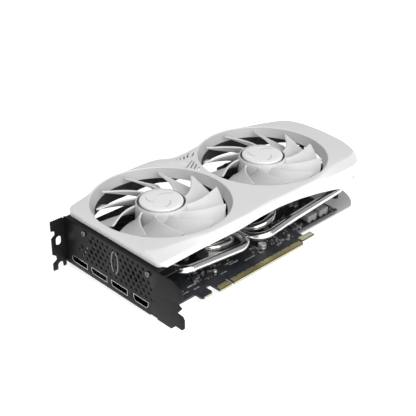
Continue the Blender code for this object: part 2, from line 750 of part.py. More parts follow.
def make_power_parts():
    """Coils, round capacitors, the supply socket on the top edge and the fan socket."""
    low = PACKAGE_LOW
    for k, (x, y) in enumerate(choke_places()):
        corner_high = (x + CHOKE_SIDE, y + CHOKE_SIDE, low + CHOKE_HEIGHT)
        add_solid(f"choke_{k + 1}", block((x, y, low), corner_high), CHOKE_GREY)
    for k in range(4):
        at = (PCB_RIGHT - 19.8, 40.0 + CAPACITOR_PITCH * k, 0.0)
        form = rod(CAPACITOR_RADIUS, low, low + CAPACITOR_HEIGHT, 20)
        shade_round(add_solid(f"capacitor_{k + 1}", form, FIN_METAL, at))
    make_power_socket()
    header_left = (FAN_X[0] + FAN_X[1]) / 2 + 13.5
    header_near = FIN_FAR_RIGHT + 1.6
    add_solid("fan_header", block((header_left, header_near, low),
                                  (header_left + 10.0, header_near + 4.5, low + 5.0)), WHITE_CAP)


def make_power_socket():
    """An eight-way supply socket, its square ways open to the card's top edge."""
    width, depth, height = POWER_WIDTH, POWER_DEPTH, POWER_HEIGHT
    left = PCB_RIGHT - 14.0 - width
    near = POWER_NEAR
    socket = add_solid("power_socket", block((left, near, PACKAGE_LOW),
                                             (left + width, near + depth, PACKAGE_LOW + height)),
                       DARK_PLASTIC)
    pitch = 4.2
    way = 3.4
    for column in range(4):
        x = left + (width - 3 * pitch) / 2 + pitch * column
        for row in range(2):
            z = PACKAGE_LOW + height / 2 + pitch * (row - 0.5)
            cut(socket, block((x - way / 2, near + 3.0, z - way / 2),
                              (x + way / 2, near + depth + THROUGH, z + way / 2)))


# Cooler

def filleted(corners, radii, step):
    """A route through corners, each rounded by an arc of its own radius."""
    route = [Vector(corners[0])]
    for k in range(1, len(corners) - 1):
        here = Vector(corners[k])
        into = (here - Vector(corners[k - 1])).normalized()
        away = (Vector(corners[k + 1]) - here).normalized()
        turn = into.angle(away)
        radius = radii[k - 1]
        start = here - into * radius * tan(turn / 2)
        side = (away - into * cos(turn)).normalized()
        count = max(1, ceil(radius * turn / step))
        spread(route, start, step)
        for i in range(1, count + 1):
            angle = turn * i / count
            route.append(start + radius * (into * sin(angle) + side * (1 - cos(angle))))
    spread(route, Vector(corners[-1]), step)
    return route


def spread(route, end, step):
    """Adds points along a straight run, up to its end."""
    start = route[-1]
    count = max(1, ceil((end - start).length / step / 3))
    for i in range(1, count + 1):
        route.append(start.lerp(end, i / count))


def make_pipe(name, corners, radii):
    """A nickel-plated heat pipe with closed ends, bent along its route."""
    route = filleted(corners, radii, 3.2)
    curve = bpy.data.curves.new(name, "CURVE")
    curve.dimensions = "3D"
    curve.bevel_depth = PIPE_RADIUS * MM
    curve.bevel_resolution = 2
    curve.use_fill_caps = True
    line = curve.splines.new("POLY")
    line.points.add(len(route) - 1)
    for point, place in zip(line.points, route):
        point.co = (*(place * MM), 1.0)
    curve.materials.append(NICKEL)
    obj = bpy.data.objects.new(name, curve)
    obj.parent = card
    bpy.context.scene.collection.objects.link(obj)


def leg_x(number):
    """Where pipe 0 to 3 crosses the cold plate, from left to right."""
    return GPU_X + PIPE_PITCH * (number - 1.5)


def fin_legs():
    """Where the pipes' other legs run through the fins: outer left, inner left, inner right, outer right."""
    first, second = FAN_X
    return first - 28.0, first + 3.5, second - 26.1, second + 39.9


def make_pipes():
    """Each pipe leaves the cold plate towards the near edge and turns back into the fins."""
    base, high = PIPE_BASE_Z, PIPE_FIN_Z
    far = GPU_Y + 26.0
    left_far, right_far = FIN_FAR - PIPE_END, FIN_FAR_RIGHT - PIPE_END
    outer_left, inner_left, inner_right, outer_right = fin_legs()
    near = SHROUD_NEAR
    make_pipe("heat_pipe_left_outer",
              [(leg_x(1), far, base), (leg_x(1), 46.0, base), (leg_x(1), near + 0.4, base + 2.8),
               (outer_left, near + 5.2, high), (outer_left, left_far, high)], (24, 13, 9))
    make_pipe("heat_pipe_left_inner",
              [(leg_x(0), far, base), (leg_x(0), 46.0, base), (leg_x(0), near + 9.8, base + 3.4),
               (inner_left, near + 12.8, high), (inner_left, left_far, high)], (24, 11, 10))
    make_pipe("heat_pipe_right_inner",
              [(leg_x(3), far, base), (leg_x(3), near + 13.2, base),
               (inner_right, near + 14.6, high), (inner_right, right_far, high)], (13, 12))
    make_pipe("heat_pipe_right_outer",
              [(leg_x(2), far, base), (leg_x(2), near + 2.4, base),
               (leg_x(2) + 37.0, near + 3.8, base + 3.6), (outer_right, near + 6.4, high),
               (outer_right, right_far, high)], (14, 60, 10))


def make_fins(name, low_x, high_x, far, legs):
    """Thin plates across the card under one deck, with a channel for each pipe leg."""
    count = int((far - FIN_NEAR) / FIN_PITCH)
    fins = add_solid(name, block((low_x, FIN_NEAR, FIN_LOW), (high_x, far, FIN_HIGH)), FIN_METAL)
    air = bmesh.new()
    for k in range(count):
        start = FIN_NEAR + FIN_THICK + k * FIN_PITCH
        block((low_x - THROUGH, start, FIN_LOW - THROUGH),
              (high_x + THROUGH, min(start + FIN_PITCH - FIN_THICK, far - FIN_THICK),
               FIN_HIGH - FIN_DECK), air)
    cut(fins, air)
    room = PIPE_RADIUS + GAP
    for x in legs:
        cut(fins, block((x - room, FIN_NEAR - THROUGH, FIN_LOW - THROUGH),
                        (x + room, far - PIPE_END + GAP, PIPE_FIN_Z + room)))


def make_cold_plate():
    """The block on the processor, with a lug at each spring screw."""
    side = COLD_PLATE_SIDE / 2
    notch = 15.0
    x, y = GPU_X, GPU_Y
    outline = [
        (x - side, y - side), (x - side + notch, y - side), (x - side + notch, y - side + notch),
        (x + side - notch, y - side + notch), (x + side - notch, y - side), (x + side, y - side),
        (x + side, y + side), (x + side - notch, y + side), (x + side - notch, y + side - notch),
        (x - side + notch, y + side - notch), (x - side + notch, y + side), (x - side, y + side),
    ]
    plate = add_solid("cold_plate", prism(outline, "Z", COLD_PLATE_LOW, COLD_PLATE_HIGH), NICKEL)
    for place in screw_places()[0]:
        hole = circle(place, SCREW_RADIUS + GAP, 10)
        cut(plate, prism(hole, "Z", COLD_PLATE_LOW - THROUGH, COLD_PLATE_HIGH + THROUGH))


def make_screw(name, at, top):
    """A screw from below: a round head with a cross slot under the backplate, and its shank."""
    low = BACKPLATE_LOW - GAP - SCREW_HEAD_THICK
    head = BACKPLATE_LOW - GAP
    form = turned(
        [(0.0, low), (SCREW_HEAD * 0.8, low), (SCREW_HEAD, low + 0.5), (SCREW_HEAD, head),
         (SCREW_RADIUS, head), (SCREW_RADIUS, top), (0.0, top)],
        12,
    )
    screw = add_solid(name, form, SCREW_STEEL, (*at, 0.0))
    for wide, deep in ((1.7, 0.35), (0.35, 1.7)):
        cut(screw, block((-wide, -deep, low - THROUGH), (wide, deep, low + 0.8)), (*at, 0.0))


def make_screws():
    springs, corners = screw_places()
    for k, place in enumerate(springs):
        make_screw(f"spring_screw_{k + 1}", place, COLD_PLATE_HIGH - 0.4)
    for k, place in enumerate(corners):
        make_screw(f"backplate_screw_{k + 1}", place, PCB_THICK)


def make_backplate():
    """A plate inside the shroud's outline, cut straight along the near edge."""
    outline = shrunk(shroud_outline(), BACKPLATE_INSET)
    form = prism([tuple(point) for point in outline], "Z", BACKPLATE_LOW, BACKPLATE_HIGH)
    plate = add_solid("backplate", form, PLATE_GREY)
    springs, corners = screw_places()
    low, high = BACKPLATE_LOW - THROUGH, BACKPLATE_HIGH + THROUGH
    cut(plate, block((SHROUD_LEFT - THROUGH, SHROUD_NEAR - THROUGH, low),
                     (SHROUD_RIGHT, BACKPLATE_NEAR, high)))
    for x, y in springs + corners:
        cut(plate, prism(circle((x, y), SCREW_RADIUS + GAP, 10), "Z", low, high))
    for x in (PCB_RIGHT - 31.0, PCB_RIGHT - 13.0):
        cut(plate, stroke((x, BACKPLATE_NEAR + 3.4), (x + 11.0, BACKPLATE_NEAR + 3.4), 2.4, low, high))


def make_end_post():
    """A round post beyond the board's end, between the backplate and the shroud's top."""
    inset, rise = END_POST_INSET
    form = rod(END_POST_RADIUS, BACKPLATE_HIGH + GAP, SHROUD_TOP - SHROUD_WALL - GAP, 20)
    shade_round(add_solid("end_post", form, DARK_PLASTIC,
                          (SHROUD_RIGHT - inset, SHROUD_NEAR + rise, 0.0)))


# Slot bracket

def bracket_outline():
    """The plate seen along X: two slot tongues at its near end, as Y and Z."""
    low, high = BRACKET_LOW, BRACKET_HIGH
    return [
        (BRACKET_BEND, low), (BRACKET_BEND, high), (4.0, high), (-3.4, high + 0.6),
        (-11.3, 29.7), (-13.0, 28.4), (-13.0, 21.4), (-11.6, 20.0), (-9.9, 19.6), (-9.9, 17.2),
        (-12.6, 16.0), (-8.5, 10.9), (-13.2, 10.5), (TONGUE_END, 8.4), (TONGUE_END, 2.4),
        (-13.0, 0.3), (-7.1, 0.3), (-3.1, low), (9.2, low), (10.1, low + 0.9), (15.8, low + 0.9),
        (16.8, low),
    ]


def tab_outline():
    """The bent tab seen along Y, as X and Z: ears, notches and the open screw slot."""
    high, low = BRACKET_HIGH, TAB_EAR_LOW
    out = -TAB_LENGTH
    slot_x, slot_r, slot_z = -5.3, 2.2, low + 3.2
    arc = [(slot_x + slot_r * cos(pi * k / 8), slot_z + slot_r * sin(pi * k / 8))
           for k in range(8, -1, -1)]
    return [
        (SHEET, high - 1.4), (-1.2, high - 0.4), (-1.6, high), (out, high), (out, 24.6),
        (-8.4, 23.6), (-8.4, 20.8), (out, 18.6), (out, 6.2), (-8.4, 4.0), (-8.0, 0.9),
        (out, -1.2), (out, low + 0.4), (-7.7, low),
    ] + arc + [(-2.9, low + 0.8), (-0.6, low + 0.8), (-0.3, low + 4.6), (SHEET, low + 5.4)]


def vent_places():
    """Slanting slots in two clusters, each larger towards its middle."""
    places = []
    for middle in (79.0, 29.5):
        for row in range(7):
            for column in range(9):
                y = middle + (column - 4) * 4.1 + (row % 2) * 2.0
                z = 9.8 + row * 3.1
                edge = max(abs(y - middle) / 20.0, abs(z - 19.0) / 13.0)
                size = 1.0 - 0.55 * edge
                if size > 0.42 and not near_bracket_screw(y, z):
                    places.append((y, z, size))
    return places


def bracket_screw_places():
    return [(81.6, 28.2), (17.7, 27.1)]


def near_bracket_screw(y, z):
    return any(sqrt((y - a) ** 2 + (z - b) ** 2) < 4.6 for a, b in bracket_screw_places())


def vent(y, z, size, form):
    """One slanting slot through the plate."""
    wide, high = 1.25 * size, 1.15 * size
    lean = 0.7 * size
    corners = [(y - wide - lean, z - high), (y + wide - lean, z - high),
               (y + wide + lean, z + high), (y - wide + lean, z + high)]
    prism(corners, "X", -THROUGH, SHEET + THROUGH, form)


def make_bracket():
    bracket = add_solid("slot_bracket", prism(bracket_outline(), "X", 0.0, SHEET), DARK_STEEL)
    fuse(bracket, prism(tab_outline(), "Y", BRACKET_BEND - SHEET, BRACKET_BEND + 0.01))
    fuse(bracket, block((SHEET - SINK, FLANGE_NEAR, BRACKET_HIGH - SHEET),
                        (SHEET + FLANGE_DEPTH, BRACKET_BEND - 1.0, BRACKET_HIGH - 0.01)))
    cut(bracket, prism(slot((-5.8, 15.4), 4.5, 7.0), "Y",
                       BRACKET_BEND - SHEET - THROUGH, BRACKET_BEND + THROUGH))
    holes = bmesh.new()
    for y, z, size in vent_places():
        vent(y, z, size, holes)
    cut(bracket, holes)
    for k, (centre, width, _) in enumerate(sockets()):
        shape, height = (hdmi_shape, HDMI_HEIGHT) if k == 3 else (dp_shape, DP_HEIGHT)
        hole = shape(centre, SOCKET_LOW + 0.4, width - 0.8, height - 0.8)
        cut(bracket, prism(hole, "X", -THROUGH, SHEET + THROUGH))
    for place in bracket_screw_places():
        cut(bracket, prism(circle(place, SCREW_RADIUS + GAP, 10), "X", -THROUGH, SHEET + THROUGH))


def make_stay():
    """The strip that ties the left fins to the bracket: a foot with two drilled ears."""
    low = FIN_HIGH + GAP
    ear = SHEET + GAP
    stay = add_solid("cooler_stay", block((ear, 13.6, low), (20.0, 88.0, low + STAY_THICK)),
                     DARK_STEEL)
    top = BRACKET_HIGH - SHEET - GAP
    for y, z in bracket_screw_places():
        fuse(stay, block((ear, max(y - 4.0, 13.7), low + 0.01), (ear + STAY_THICK, y + 4.0, top)))
        hole = circle((y, z), SCREW_RADIUS + GAP, 10)
        cut(stay, prism(hole, "X", -THROUGH, ear + STAY_THICK + THROUGH))
    cut(stay, block((6.0, 26.0, low - THROUGH), (16.0, 76.0, low + STAY_THICK + THROUGH)))


def make_bracket_screws():
    """Two small screws through the plate into the stay."""
    for k, (y, z) in enumerate(bracket_screw_places()):
        head = prism(circle((y, z), 2.6, 12), "X", -GAP - 1.0, -GAP)
        screw = add_solid(f"bracket_screw_{k + 1}", head, SCREW_STEEL)
        fuse(screw, prism(circle((y, z), SCREW_RADIUS, 12), "X", -GAP - SINK,
                          SHEET + GAP + STAY_THICK + 1.0))


make_board()
make_sockets()
make_chips()
make_power_parts()
make_cold_plate()
make_pipes()
make_fins("fin_stack_left", 14.0, fin_legs()[1] + 15.0, FIN_FAR, fin_legs()[:2])
make_fins("fin_stack_right", fin_legs()[2] - 17.0, SHROUD_RIGHT - 19.0, FIN_FAR_RIGHT,
          fin_legs()[2:])
make_shroud()
make_fans()
make_backplate()
make_end_post()
make_screws()
make_bracket()
make_stay()
make_bracket_screws()
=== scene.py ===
"""A graphics card with two fans in a white shroud, dressed piece by piece as it is put together.

Shapes are drawn in millimetres in the card's own frame: X = 0 is the outer face of the slot
bracket, Y = 0 the lower edge of the slot contacts and Z = 0 the underside of the board.
"""

from math import ceil, cos, pi, radians, sin, sqrt, tan
from random import Random

import bmesh
import bpy
from mathutils import Matrix, Vector


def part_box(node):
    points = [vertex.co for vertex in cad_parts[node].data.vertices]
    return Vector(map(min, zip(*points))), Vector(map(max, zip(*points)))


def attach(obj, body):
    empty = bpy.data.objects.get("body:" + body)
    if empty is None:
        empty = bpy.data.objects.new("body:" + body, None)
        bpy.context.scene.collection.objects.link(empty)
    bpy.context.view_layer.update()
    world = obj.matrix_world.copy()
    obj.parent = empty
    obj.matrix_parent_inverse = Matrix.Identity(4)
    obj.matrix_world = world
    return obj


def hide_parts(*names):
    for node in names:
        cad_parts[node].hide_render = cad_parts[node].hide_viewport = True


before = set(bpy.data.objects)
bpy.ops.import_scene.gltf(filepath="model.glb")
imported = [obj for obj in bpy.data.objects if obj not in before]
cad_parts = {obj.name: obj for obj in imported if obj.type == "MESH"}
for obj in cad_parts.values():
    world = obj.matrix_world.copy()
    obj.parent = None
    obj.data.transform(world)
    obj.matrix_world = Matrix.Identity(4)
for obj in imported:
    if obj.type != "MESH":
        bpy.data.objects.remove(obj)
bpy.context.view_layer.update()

# ---------------------------------------------------------------------------------------------
# Circuit board: glass laminate under a near-black solder mask, with copper runs just showing
# through it. It is routed to the slot standard's outline, with gold-plated contacts on both
# faces of its tongue.

MM = 0.001
BOARD_LEFT = 1.4
BOARD_THICK = 1.57
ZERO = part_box("circuit_board")[0] - Vector((BOARD_LEFT, 0.0, 0.0)) * MM


class Value:
    """The output of a material's node, which takes Python's operators."""

    def __init__(self, tree, socket):
        self.tree = tree
        self.socket = socket

    def math(self, operation, *others):
        node = self.tree.nodes.new("ShaderNodeMath")
        node.operation = operation
        for socket, value in zip(node.inputs, (self, *others)):
            join(self.tree, socket, value)
        return Value(self.tree, node.outputs[0])

    def __add__(self, other):
        return self.math("ADD", other)

    def __mul__(self, other):
        return self.math("MULTIPLY", other)

    def __gt__(self, other):
        return self.math("GREATER_THAN", other)

    def __lt__(self, other):
        return self.math("LESS_THAN", other)

    __radd__ = __add__
    __rmul__ = __mul__


def join(tree, socket, value):
    if isinstance(value, Value):
        tree.links.new(value.socket, socket)
    else:
        socket.default_value = value


class Look:
    """A material round one Principled shader, with its pattern read from object coordinates."""

    def __init__(self, name, colour, roughness, metallic=0.0, **sockets):
        self.material = bpy.data.materials.new(name)
        self.material.use_nodes = True
        self.tree = self.material.node_tree
        self.shader = self.tree.nodes["Principled BSDF"]
        self.place = self.node("ShaderNodeTexCoord", {}, {}, "Object")
        self.put({"Base Color": (*colour, 1.0), "Roughness": roughness, "Metallic": metallic})
        self.put(sockets)

    def put(self, sockets):
        for name, value in sockets.items():
            join(self.tree, self.shader.inputs[name.replace("_", " ")], value)
        return self

    def node(self, kind, settings, sockets, out=0):
        node = self.tree.nodes.new(kind)
        for name, value in settings.items():
            setattr(node, name, value)
        for name, value in sockets.items():
            join(self.tree, node.inputs[name], value)
        return Value(self.tree, node.outputs[out])

    def noise(self, size_mm, detail=2.0, roughness=0.5):
        return self.node("ShaderNodeTexNoise", {}, {
            "Vector": self.place, "Scale": 1.0 / (size_mm * MM), "Detail": detail,
            "Roughness": roughness,
        })

    def mix(self, factor, first, second):
        return self.node("ShaderNodeMix", {"data_type": "RGBA"},
                         {0: factor, 6: (*first, 1.0), 7: (*second, 1.0)}, 2)

    def mottle(self, size_mm, first, second, detail=2.0):
        """A base colour that wanders between two tones in patches of a size."""
        return self.put({"Base_Color": self.mix(self.noise(size_mm, detail), first, second)})

    def bump(self, height, depth_mm):
        return self.put({"Normal": self.node("ShaderNodeBump", {}, {
            "Height": height, "Distance": depth_mm * MM})})

    def grain(self, size_mm, depth_mm, gloss):
        """A fine cast grain: bumps, and a roughness that wanders by gloss."""
        fine = self.noise(size_mm, 3.0)
        base = self.shader.inputs["Roughness"].default_value
        self.put({"Roughness": self.noise(size_mm * 23.0) * gloss + (base - gloss / 2)})
        return self.bump(fine, depth_mm)


def dress(look, *nodes):
    """Gives CAD nodes that stay a finished material."""
    for node in nodes:
        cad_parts[node].data.materials[0] = look.material


def add_piece(name, form, look, body="card", nodes=(), crease=32.0):
    """Turns a bmesh in millimetres into a finished piece, in place, riding on a body."""
    bmesh.ops.transform(form, matrix=Matrix.Translation(ZERO) @ Matrix.Scale(MM, 4),
                        verts=form.verts)
    mesh = bpy.data.meshes.new(name)
    form.to_mesh(mesh)
    form.free()
    mesh.materials.append(look.material)
    mesh.shade_smooth()
    mesh.set_sharp_from_angle(angle=radians(crease))
    piece = bpy.data.objects.new(name, mesh)
    bpy.context.scene.collection.objects.link(piece)
    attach(piece, body)
    if nodes:
        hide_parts(*nodes)
    return piece


def box(form, low, high, round_by=0.0):
    """A block between two corners, its edges eased by a bevel."""
    size = Vector(high) - Vector(low)
    middle = (Vector(high) + Vector(low)) / 2
    made = bmesh.ops.create_cube(form, size=1.0, matrix=Matrix.Translation(middle)
                                 @ Matrix.Diagonal((*size, 1.0)))["verts"]
    if round_by:
        edges = list({edge for vert in made for edge in vert.link_edges})
        bmesh.ops.bevel(form, geom=edges, offset=round_by, segments=2, profile=0.5,
                        affect="EDGES", material=-1)
    return form


board_look = Look("solder_mask_black", (0.012, 0.014, 0.018), 0.34)
runs = board_look.node("ShaderNodeTexVoronoi", {"distance": "MANHATTAN", "feature": "F1"},
                       {"Vector": board_look.place, "Scale": 210.0}, "Distance")
pour = board_look.node("ShaderNodeTexVoronoi", {"distance": "CHEBYCHEV", "feature": "F1"},
                       {"Vector": board_look.place, "Scale": 70.0}, "Distance")
copper = (runs > 0.52) * 0.55 + (pour > 0.5) * 0.45
board_look.put({
    "Base_Color": board_look.mix(copper, (0.009, 0.010, 0.013), (0.024, 0.027, 0.034)),
    "Roughness": board_look.noise(6.0) * 0.12 + 0.28,
})
board_look.bump(copper + board_look.noise(0.3) * 0.2, 0.035)
dress(board_look, "circuit_board")

gold = Look("hard_gold", (0.60, 0.50, 0.22), 0.33, 0.85)
gold.mottle(2.2, (0.50, 0.42, 0.19), (0.68, 0.58, 0.30))
gold.grain(0.12, 0.004, 0.15)

CONTACT_FIRST = 47.3
CONTACT_PITCH = 1.0
CONTACT_COUNT = 83
KEY_FROM, KEY_TO = 57.2, 60.0
contacts = bmesh.new()
for k in range(CONTACT_COUNT):
    x = CONTACT_FIRST + CONTACT_PITCH * k
    if not KEY_FROM < x + 0.4 < KEY_TO:
        tall = 4.9 if k % 9 else 3.9
        box(contacts, (x, 0.7, BOARD_THICK), (x + 0.78, tall, BOARD_THICK + 0.04))
        box(contacts, (x, 0.7, -0.04), (x + 0.78, tall, 0.0))
add_piece("edge_contacts", contacts, gold)

bare = Look("bare_laminate", (0.44, 0.44, 0.29), 0.55)
weave = bare.node("ShaderNodeTexWave", {"wave_type": "BANDS"},
                  {"Vector": bare.place, "Scale": 700.0, "Distortion": 1.5}, "Fac")
bare.put({"Base_Color": bare.mix(weave, (0.40, 0.41, 0.25), (0.50, 0.50, 0.34))})
bare.bump(weave, 0.01)
edge_strip = bmesh.new()
box(edge_strip, (46.5, -0.02, 0.1), (57.5, 0.3, 1.47))
box(edge_strip, (59.7, -0.02, 0.1), (129.4, 0.3, 1.47))
box(edge_strip, (132.6, 3.62, -0.02), (145.9, 7.9, 1.60), 0.02)
box(edge_strip, (33.6, 1.68, 0.1), (40.0, 2.0, 1.47))
add_piece("bare_edges", edge_strip, bare)

# ---------------------------------------------------------------------------------------------
# Small surface parts: near two hundred chip capacitors and resistors, black packages with tinned
# legs, and generic white legend marks, reflowed on the board's upper face along its near edge.

ceramic = Look("chip_ceramic", (0.30, 0.29, 0.28), 0.5)
ceramic.mottle(1.4, (0.08, 0.08, 0.08), (0.46, 0.45, 0.43))
ceramic.grain(0.15, 0.01, 0.1)
tin = Look("tinned_ends", (0.72, 0.72, 0.70), 0.32, 0.9)
tin.mottle(0.8, (0.60, 0.60, 0.58), (0.82, 0.82, 0.80))
tin.grain(0.2, 0.015, 0.2)
package = Look("moulded_package", (0.02, 0.02, 0.021), 0.45)
package.mottle(1.1, (0.013, 0.013, 0.014), (0.032, 0.032, 0.033))
package.grain(0.12, 0.012, 0.14)
legend = Look("legend_ink", (0.70, 0.71, 0.71), 0.6)
legend.mottle(0.5, (0.55, 0.56, 0.56), (0.80, 0.81, 0.81))
legend.grain(0.2, 0.006, 0.1)

draw = Random(7)
bodies = bmesh.new()
ends = bmesh.new()
chips = bmesh.new()
marks = bmesh.new()


def chip_part(x, y, long, wide, tall, along_x):
    """A chip capacitor or resistor: a ceramic body with two tinned ends."""
    half = Vector((long, wide)) / 2 if along_x else Vector((wide, long)) / 2
    end = Vector((long * 0.24, 0.0)) if along_x else Vector((0.0, long * 0.24))
    low, high = Vector((x, y)) - half, Vector((x, y)) + half
    box(bodies, (*(low + end), BOARD_THICK), (*(high - end), BOARD_THICK + tall))
    if along_x:
        box(ends, (low.x, low.y, BOARD_THICK), (low.x + end.x, high.y, BOARD_THICK + tall + 0.03))
        box(ends, (high.x - end.x, low.y, BOARD_THICK), (high.x, high.y, BOARD_THICK + tall + 0.03))
    else:
        box(ends, (low.x, low.y, BOARD_THICK), (high.x, low.y + end.y, BOARD_THICK + tall + 0.03))
        box(ends, (low.x, high.y - end.y, BOARD_THICK), (high.x, high.y, BOARD_THICK + tall + 0.03))


def legged_chip(x, y, wide, deep, tall, legs):
    """A black package with a row of tinned legs on its two long sides."""
    box(chips, (x, y, BOARD_THICK + 0.1), (x + wide, y + deep, BOARD_THICK + tall), 0.12)
    for k in range(legs):
        leg = x + wide * (k + 0.5) / legs
        for side in (y - 0.55, y + deep - 0.05):
            box(ends, (leg - 0.16, side, BOARD_THICK), (leg + 0.16, side + 0.6, BOARD_THICK + 0.3))


# ends of each patch of small parts: left, near, right, far, how many
for left, near, right, far, count in (
    (6.0, 11.0, 30.0, 14.0, 8), (38.0, 14.0, 57.0, 27.0, 34), (60.0, 20.0, 92.0, 27.0, 16),
    (93.0, 12.5, 103.0, 27.0, 14), (112.0, 10.6, 131.0, 24.0, 38), (132.0, 15.4, 151.0, 27.0, 24),
    (136.0, 28.0, 150.0, 42.0, 18), (164.5, 27.0, 184.0, 38.0, 22), (177.5, 16.0, 184.6, 26.0, 8),
):
    for k in range(count):
        x, y = draw.uniform(left, right), draw.uniform(near, far)
        long = draw.choice((1.0, 1.6, 1.6, 2.0))
        chip_part(round(x * 2) / 2, round(y * 1.4) / 1.4, long, long * 0.52, long * 0.42,
                  draw.random() < 0.5)
for x, y, wide, deep, tall, legs in (
    (40.5, 20.2, 5.0, 4.0, 1.3, 6), (49.8, 15.0, 4.4, 3.8, 1.2, 5), (65.0, 22.0, 4.0, 3.2, 1.0, 4),
    (113.5, 18.6, 5.4, 4.6, 1.3, 6), (124.6, 13.2, 3.6, 3.0, 1.1, 4), (139.0, 19.0, 5.0, 4.6, 1.2, 6),
    (11.0, 16.0, 5.6, 3.6, 1.4, 5), (175.6, 29.0, 6.0, 5.0, 1.3, 6), (97.0, 20.6, 3.4, 3.4, 1.0, 4),
):
    legged_chip(x, y, wide, deep, tall, legs)
# runs of short dashes that stand for the board's legend, each with its start, dashes and pitch
for x, y, count, pitch, tall in (
    (72.0, 16.4, 9, 1.0, 1.2), (60.0, 12.6, 6, 0.9, 0.8), (84.0, 13.0, 12, 0.8, 0.7),
    (139.0, 16.6, 7, 1.1, 1.0), (98.0, 12.2, 4, 0.9, 0.8), (20.0, 15.4, 8, 1.1, 1.1),
    (22.0, 12.9, 9, 1.0, 0.8), (33.0, 16.2, 6, 1.3, 1.4), (34.5, 12.0, 5, 1.0, 0.9),
    (70.0, 18.6, 7, 1.1, 0.9),
    (154.0, 28.0, 9, 1.1, 1.0),
):
    for k in range(count):
        width = pitch * draw.choice((0.35, 0.55, 0.7))
        start = x + pitch * k
        box(marks, (start, y, BOARD_THICK), (start + width, y + tall, BOARD_THICK + 0.02))
add_piece("chip_bodies", bodies, ceramic)
add_piece("tinned_ends", ends, tin)
add_piece("black_packages", chips, package)
add_piece("board_legend", marks, legend)


def spun(profile, steps=64, at=(0.0, 0.0), form=None):
    """A profile of radius and height, turned a full circle round an upright axis."""
    turned = bmesh.new()
    verts = [turned.verts.new((radius, 0.0, height)) for radius, height in profile]
    edges = [turned.edges.new(pair) for pair in zip(verts, verts[1:])]
    bmesh.ops.spin(turned, geom=verts + edges, cent=(0, 0, 0), axis=(0, 0, 1), angle=2 * pi,
                   steps=steps, use_merge=True)
    bmesh.ops.remove_doubles(turned, verts=turned.verts, dist=1e-4)
    bmesh.ops.recalc_face_normals(turned, faces=turned.faces)
    bmesh.ops.translate(turned, vec=(at[0], at[1], 0.0), verts=turned.verts)
    if form is None:
        return turned
    return merged(form, turned)


def merged(form, other):
    """Adds one bmesh to another."""
    holder = bpy.data.meshes.new("holder")
    other.to_mesh(holder)
    other.free()
    form.from_mesh(holder)
    bpy.data.meshes.remove(holder)
    return form


round_cans = bmesh.new()
for x, y, radius, tall in ((104.6, 16.6, 3.0, 3.4), (58.6, 17.6, 1.6, 1.6)):
    top = BOARD_THICK + tall
    spun([(0.0, BOARD_THICK + 0.2), (radius, BOARD_THICK + 0.2), (radius, BOARD_THICK + 0.8),
          (radius - 0.18, BOARD_THICK + 1.0), (radius, BOARD_THICK + 1.2), (radius, top - 0.3),
          (radius - 0.3, top), (radius - 0.5, top - 0.08), (radius - 1.3, top - 0.08),
          (radius - 1.36, top - 0.3), (0.0, top - 0.3)], 48, (x, y), round_cans)
add_piece("round_cans", round_cans, tin)

# ---------------------------------------------------------------------------------------------
# Supply parts: pressed-iron coils, tall round capacitors with scored tops, and the moulded
# supply socket with its pins, all soldered to the board's upper face.

iron = Look("pressed_iron", (0.27, 0.27, 0.265), 0.5)
speck = iron.noise(0.5, 4.0, 0.7)
iron.put({"Base_Color": iron.mix(speck, (0.09, 0.09, 0.088), (0.24, 0.24, 0.235))})
iron.bump(speck, 0.05)
for k in range(1, 5):
    low, high = ((corner - ZERO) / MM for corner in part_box(f"choke_{k}"))
    coil = box(bmesh.new(), low + Vector((0.0, 0.0, 0.5)), high, 0.5)
    for x in (low.x + 1.2, high.x - 3.4):
        box(coil, (x, low.y - 0.12, low.z - 0.2), (x + 2.2, low.y + 0.6, low.z + 1.5))
    add_piece(f"coil_{k}", coil, iron, nodes=(f"choke_{k}",))

can_metal = Look("can_aluminium", (0.55, 0.55, 0.56), 0.3, 1.0)
brushed = can_metal.node("ShaderNodeTexNoise", {}, {
    "Vector": can_metal.node("ShaderNodeMapping", {}, {
        "Vector": can_metal.place, "Scale": (900.0, 900.0, 60.0)}),
    "Scale": 1.0, "Detail": 3.0})
can_metal.put({"Base_Color": can_metal.mix(brushed, (0.44, 0.44, 0.45), (0.62, 0.62, 0.63)),
               "Roughness": brushed * 0.2 + 0.2})
can_metal.bump(brushed, 0.006)
for k in range(1, 5):
    low, high = ((corner - ZERO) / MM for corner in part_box(f"capacitor_{k}"))
    middle, radius = (low + high) / 2, (high.x - low.x) / 2
    can = spun([(0.0, low.z), (radius, low.z), (radius, low.z + 0.9), (radius - 0.22, low.z + 1.2),
                (radius, low.z + 1.5), (radius, high.z - 0.4), (radius - 0.35, high.z),
                (radius - 0.7, high.z - 0.1), (0.0, high.z - 0.1)], 48, (middle.x, middle.y))
    add_piece(f"can_{k}", can, can_metal, nodes=(f"capacitor_{k}",))

moulding = Look("black_moulding", (0.014, 0.014, 0.015), 0.44, Specular_IOR_Level=0.3)
moulding.mottle(3.0, (0.011, 0.011, 0.012), (0.018, 0.018, 0.019))
moulding.grain(0.3, 0.02, 0.16)
dress(moulding, "power_socket", "fan_arms_left", "fan_arms_right", "end_post")
low, high = ((corner - ZERO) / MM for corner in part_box("power_socket"))
pins = bmesh.new()
latch = bmesh.new()
SUPPLY_PITCH = 4.2
for column in range(4):
    x = (low.x + high.x) / 2 + SUPPLY_PITCH * (column - 1.5)
    for row in (-0.5, 0.5):
        z = (low.z + high.z) / 2 + SUPPLY_PITCH * row
        box(pins, (x - 0.5, low.y + 2.6, z - 0.5), (x + 0.5, high.y - 2.0, z + 0.5), 0.15)
box(latch, ((low.x + high.x) / 2 - 2.2, high.y - 6.0, high.z), ((low.x + high.x) / 2 + 2.2,
                                                               high.y - 0.4, high.z + 0.9), 0.25)
add_piece("supply_pins", pins, gold)
add_piece("supply_latch", latch, moulding)

